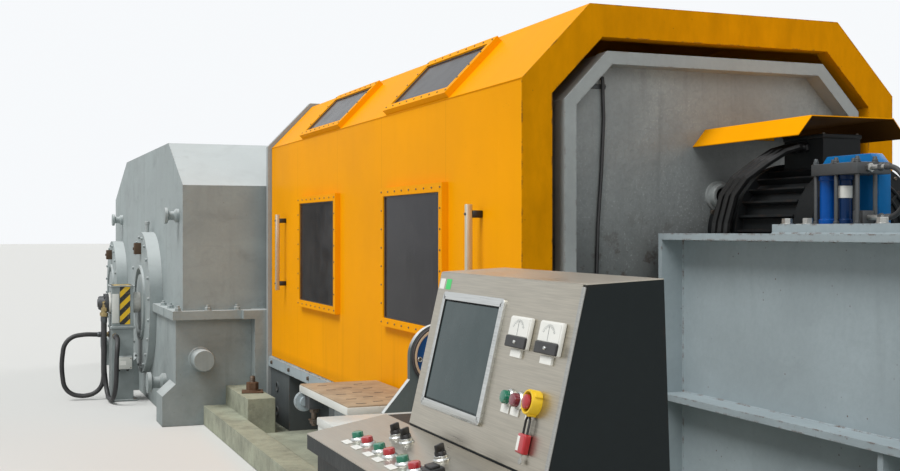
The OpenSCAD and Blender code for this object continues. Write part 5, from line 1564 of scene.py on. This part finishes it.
class MILL_OT_desk_sheets(Operator):
    """Adds the desk's stainless top and edge strips, door leaves, latches, hinges and vents"""
    bl_idname = "mill.desk_sheets"
    bl_label = "Desk sheets"

    def execute(self, context):
        low, high = DESK
        sheets = Piece("desk_sheets", "stainless", "machined")
        width = high[0] - low[0]
        top = plane((low[0], low[1] + TOP_START, high[2] - TOP_DROP), FORE, (0, TOP_RUN, TOP_DROP))
        sheets.block((0.0, 0.0, -0.001), (width, TOP_RUN, 0.002), 0.0008, top)
        sheets.block((PANEL_WIDTH, 0.0, -0.002), (width, PANEL_HEIGHT, 0.004), 0.001, panel(0, 0, 0.0), 1)
        sheets.block((-0.19, 0.0, -0.03), (width, 0.003, 0.003), 0.001, shelf(0, 0, 0.0))
        sheets.done()

        doors = Piece("desk_doors", "charcoal", "deep_shadow", "dark_steel")
        base_low, base_high = DESK_BASE
        face = base_low[1] + 0.03
        middle = (base_low[0] + base_high[0]) / 2
        for a, b in ((base_low[0] + 0.03, middle - 0.003), (middle + 0.003, base_high[0] - 0.03)):
            doors.block((a, face - 0.004, DOOR_FOOT), (b, face + 0.001, DOOR_TOP), 0.0015)
        for x in (middle - 0.05, middle + 0.05):
            doors.disc(0.014, 0.008, at((x, face - 0.004, LATCH_Z), NEAR), 2)
            # Each latch's slot is a dark strip in painted shade.
            doors.block((x - 0.002, face - 0.0135, LATCH_Z - 0.01),
                        (x + 0.002, face - 0.011, LATCH_Z + 0.01), 0.0005, paint=1)
        for x in (base_low[0] + 0.06, base_high[0] - 0.06):
            for z in HINGES_Z:
                doors.disc(0.006, 0.06, at((x, face - 0.005, z - 0.03)), 2)
        back = base_high[1]
        # The vents are dark strips in painted shade.
        for row in range(VENTS):
            z = 0.2 + row * VENT_PITCH
            doors.block((middle - VENT_HALF, back - 0.001, z),
                        (middle + VENT_HALF, back + 0.0015, z + 0.008), 0.0005, paint=1)
        doors.block((base_low[0] + 0.04, back - 0.001, DOOR_FOOT),
                    (base_high[0] - 0.04, back + 0.001, 1.04), 0.0008)
        doors.done()

        box = Piece("side_box_lid", "side_box", "black_plastic")
        box_low, box_high = SIDE_BOX
        box.block((box_low[0] - 0.003, box_low[1] - 0.003, box_high[2] - 0.022),
                  (box_high[0], box_high[1] + 0.003, box_high[2] + 0.002), 0.003, steps=2)
        box.block((box_low[0] - 0.0015, box_low[1] + 0.02, 0.12),
                  (box_low[0] + 0.001, box_high[1] - 0.02, 1.0), 0.001)
        for z in (0.3, 0.82):
            box.disc(0.011, 0.006, at((box_low[0] - 0.001, box_high[1] - 0.05, z), (-1, 0, 0)), 1)
        box.done()
        return {"FINISHED"}


class MILL_OT_screen(Operator):
    """Makes the screen: a rounded pale bezel, a black border and dark glass, and two blank stickers"""
    bl_idname = "mill.screen"
    bl_label = "Screen"

    def execute(self, context):
        piece = Piece("desk_display", "screen_bezel", "black_plastic", "screen_glass")
        piece.display(SCREEN_SIZE, 0.008, 0.022, 0.014, 0.012, panel(*SCREEN))
        piece.done(replaces=("desk_screen",))
        stickers = Piece("desk_stickers", "white_plastic", "sticker_green")
        for u, paint in STICKERS:
            stickers.block((-0.017, -0.014, -0.0002), (0.017, 0.014, 0.0005), 0.0001,
                           panel(u, STICKERS_V), paint)
        stickers.done()
        return {"FINISHED"}


class MILL_OT_meters(Operator):
    """Makes the two panel meters: white dial with ticks and a needle, black lower cover, blank label"""
    bl_idname = "mill.meters"
    bl_label = "Meters"

    def execute(self, context):
        body = Piece("meter_bodies", "white_plastic", "black_plastic", "screen_bezel")
        marks = Piece("meter_dials", "pale_grey")
        wide, tall, cover = METER_WIDE, METER_TALL, METER_TALL * METER_COVER
        for u in METERS:
            place = panel(u, METERS_V)
            body.block((0.0, 0.0, 0.0), (wide, tall, 0.011), 0.003, place, steps=2)
            body.block((0.003, cover, 0.01), (wide - 0.003, tall - 0.003, 0.0135), 0.0015, place)
            body.block((0.0, 0.0, 0.01), (wide, cover, 0.016), 0.002, place, 1)
            body.screw(0.004, shifted(place, wide / 2, cover / 2, 0.016), 2)
            body.block((0.02, -0.021, -0.001), (0.074, -0.003, 0.006), 0.0006, place)
            pivot = shifted(place, wide / 2, tall * 0.4, 0.0135)
            for turn in range(-56, 57, 8):
                length = 0.005 if turn % 16 else 0.0075
                marks.block((-0.0006, 0.036 - length, -0.0002), (0.0006, 0.036, 0.0004), 0.0,
                            spun(pivot, turn))
            marks.block((-0.0005, 0.0, -0.0002), (0.0005, 0.031, 0.0007), 0.0, spun(pivot, 3))
        body.done(replaces=("desk_controls",))
        marks.done()
        return {"FINISHED"}


class MILL_OT_buttons(Operator):
    """Makes the push buttons, selector knobs and the switch box, each on its bezel with a blank label"""
    bl_idname = "mill.buttons"
    bl_label = "Buttons"

    def execute(self, context):
        piece = Piece("desk_buttons", "screen_bezel", "button_green", "button_red", "button_maroon",
                      "black_plastic", "white_plastic")
        for u, paint in FRONT_BUTTONS:
            place = panel(u, FRONT_BUTTONS_V)
            piece.push_button(place, BUTTON_RADIUS, BUTTON_OUT, 0, paint)
            piece.block((-0.034, -0.036, 0.0), (0.008, -0.018, 0.003), 0.0005, place, 5)
        for count, u in enumerate(SHELF_BUTTONS):
            place = shelf(u, SHELF_BUTTONS_V)
            piece.push_button(place, BUTTON_RADIUS, BUTTON_OUT, 0, 1 + count % 2)
            piece.block((-0.024, -0.041, 0.0), (0.024, -0.021, 0.002), 0.0005, place, 5)
        for u in KNOBS:
            place = shelf(u, KNOBS_V)
            piece.lathe([(0.02, 0.0), (0.02, 0.003), (0.0165, 0.006), (0.0165, 0.012)], place, 0, 28)
            piece.lathe([(0.0145, 0.011), (0.014, 0.02), (0.0125, 0.022)], place, 4, 28)
            piece.block((-0.0045, -0.014, 0.018), (0.0045, 0.014, 0.038), 0.002,
                        spun(place, KNOB_TURN), 4, 2)
        place = shelf(*SWITCH_BOX)
        piece.block((0.0, 0.0, 0.0), (0.056, 0.04, 0.018), 0.002, place, 4, 2)
        piece.block((0.008, 0.008, 0.017), (0.048, 0.032, 0.024), 0.002, place, 4, 2)
        piece.done(replaces=("desk_controls",))
        return {"FINISHED"}


class MILL_OT_stop_button(Operator):
    """Makes the guarded stop button with its red padlock, shackle and key"""
    bl_idname = "mill.stop_button"
    bl_label = "Stop button"

    def execute(self, context):
        guard = Piece("stop_guard", "sign_yellow", "button_red", "white_plastic")
        place = panel(*STOP) @ Matrix.Scale(STOP_SCALE, 4)
        guard.turned([(0.026, 0.0), (0.038, 0.0), (0.038, 0.03), (0.036, 0.034), (0.031, 0.034),
                      (0.029, 0.03), (0.026, 0.006), (0.026, 0.0)], place, 0, 48)
        for turn in (40, 160, 280):
            guard.block((0.033, -0.009, 0.0), (0.042, 0.009, 0.026), 0.002, spun(place, turn), steps=2)
        guard.turned([(0.0, 0.0), (0.012, 0.0), (0.012, 0.026), (0.02, 0.028), (0.0225, 0.033),
                      (0.021, 0.04), (0.014, 0.044), (0.0, 0.045)], place, 1, 40)
        guard.block((-0.055, -0.058, 0.0), (-0.02, -0.042, 0.002), 0.0005, place, 2)
        guard.done(replaces=("desk_controls",))

        lock = Piece("padlock", "lock_red", "white_plastic", "black_plastic", "machined")
        place = panel(*LOCK) @ Matrix.Scale(LOCK_SCALE, 4)
        lock.block((0.0, 0.0, 0.0), (0.044, 0.052, 0.02), 0.004, place, steps=3)
        lock.block((0.003, 0.006, 0.0195), (0.017, 0.044, 0.0206), 0.0003, place, 1)
        lock.bar([(0.01, 0.046), (0.01, 0.086), (0.014, 0.095), (0.022, 0.099), (0.03, 0.095),
                  (0.034, 0.086), (0.034, 0.046)], 0.0035, raised(place, 0.01), 2)
        lock.disc(0.006, 0.004, place @ at((0.022, 0.001, 0.01), NEAR), 3, steps=16)
        lock.block((0.018, -0.014, 0.0085), (0.026, 0.0, 0.0105), 0.0008, place, 3)
        key_bow = [(0.022 + a * 1.1, -0.02 + b * 0.85) for a, b in ring_of(12, 0.0095)]
        lock.prism(key_bow, 0.002, raised(place, 0.0085), 3, 0.0005)
        lock.done(replaces=("desk_controls",))
        return {"FINISHED"}


# The add-on

class MILL_PT_panel(Panel):
    """Lists the steps that build the mill"""
    bl_label = "Mill Stand"
    bl_idname = "MILL_PT_panel"
    bl_space_type = "VIEW_3D"
    bl_region_type = "UI"
    bl_category = "Mill Stand"

    def draw(self, context):
        for step in STEPS:
            self.layout.operator(step.bl_idname)
        for group in (context.scene.mill_colours, context.scene.mill_sizes, context.scene.mill_light):
            box = self.layout.box()
            for setting in group.__annotations__:
                box.prop(group, setting)


GROUPS = {"mill_colours": MillColours, "mill_sizes": MillSizes, "mill_light": MillLight}
STEPS = (MILL_OT_stage, MILL_OT_hoses, MILL_OT_paint, MILL_OT_windows, MILL_OT_handles,
         MILL_OT_hood_trim, MILL_OT_housing_bolts, MILL_OT_housing_fittings, MILL_OT_rotary_union,
         MILL_OT_bracket_fittings, MILL_OT_anchors, MILL_OT_columns, MILL_OT_side_table,
         MILL_OT_guide_wheel, MILL_OT_end_plate, MILL_OT_motor, MILL_OT_canopy, MILL_OT_bed_fittings,
         MILL_OT_clamp, MILL_OT_desk_sheets, MILL_OT_screen, MILL_OT_meters, MILL_OT_buttons,
         MILL_OT_stop_button)


def register():
    for kind in (*GROUPS.values(), *STEPS, MILL_PT_panel):
        bpy.utils.register_class(kind)
    for name, kind in GROUPS.items():
        setattr(bpy.types.Scene, name, bpy.props.PointerProperty(type=kind))


def unregister():
    for name in GROUPS:
        delattr(bpy.types.Scene, name)
    for kind in reversed((*GROUPS.values(), *STEPS, MILL_PT_panel)):
        bpy.utils.unregister_class(kind)


def main():
    register()
    make_finishes(bpy.context.scene.mill_colours)
    for step in STEPS:
        group, name = step.bl_idname.split(".")
        getattr(getattr(bpy.ops, group), name)()


if __name__ == "__main__":
    main()
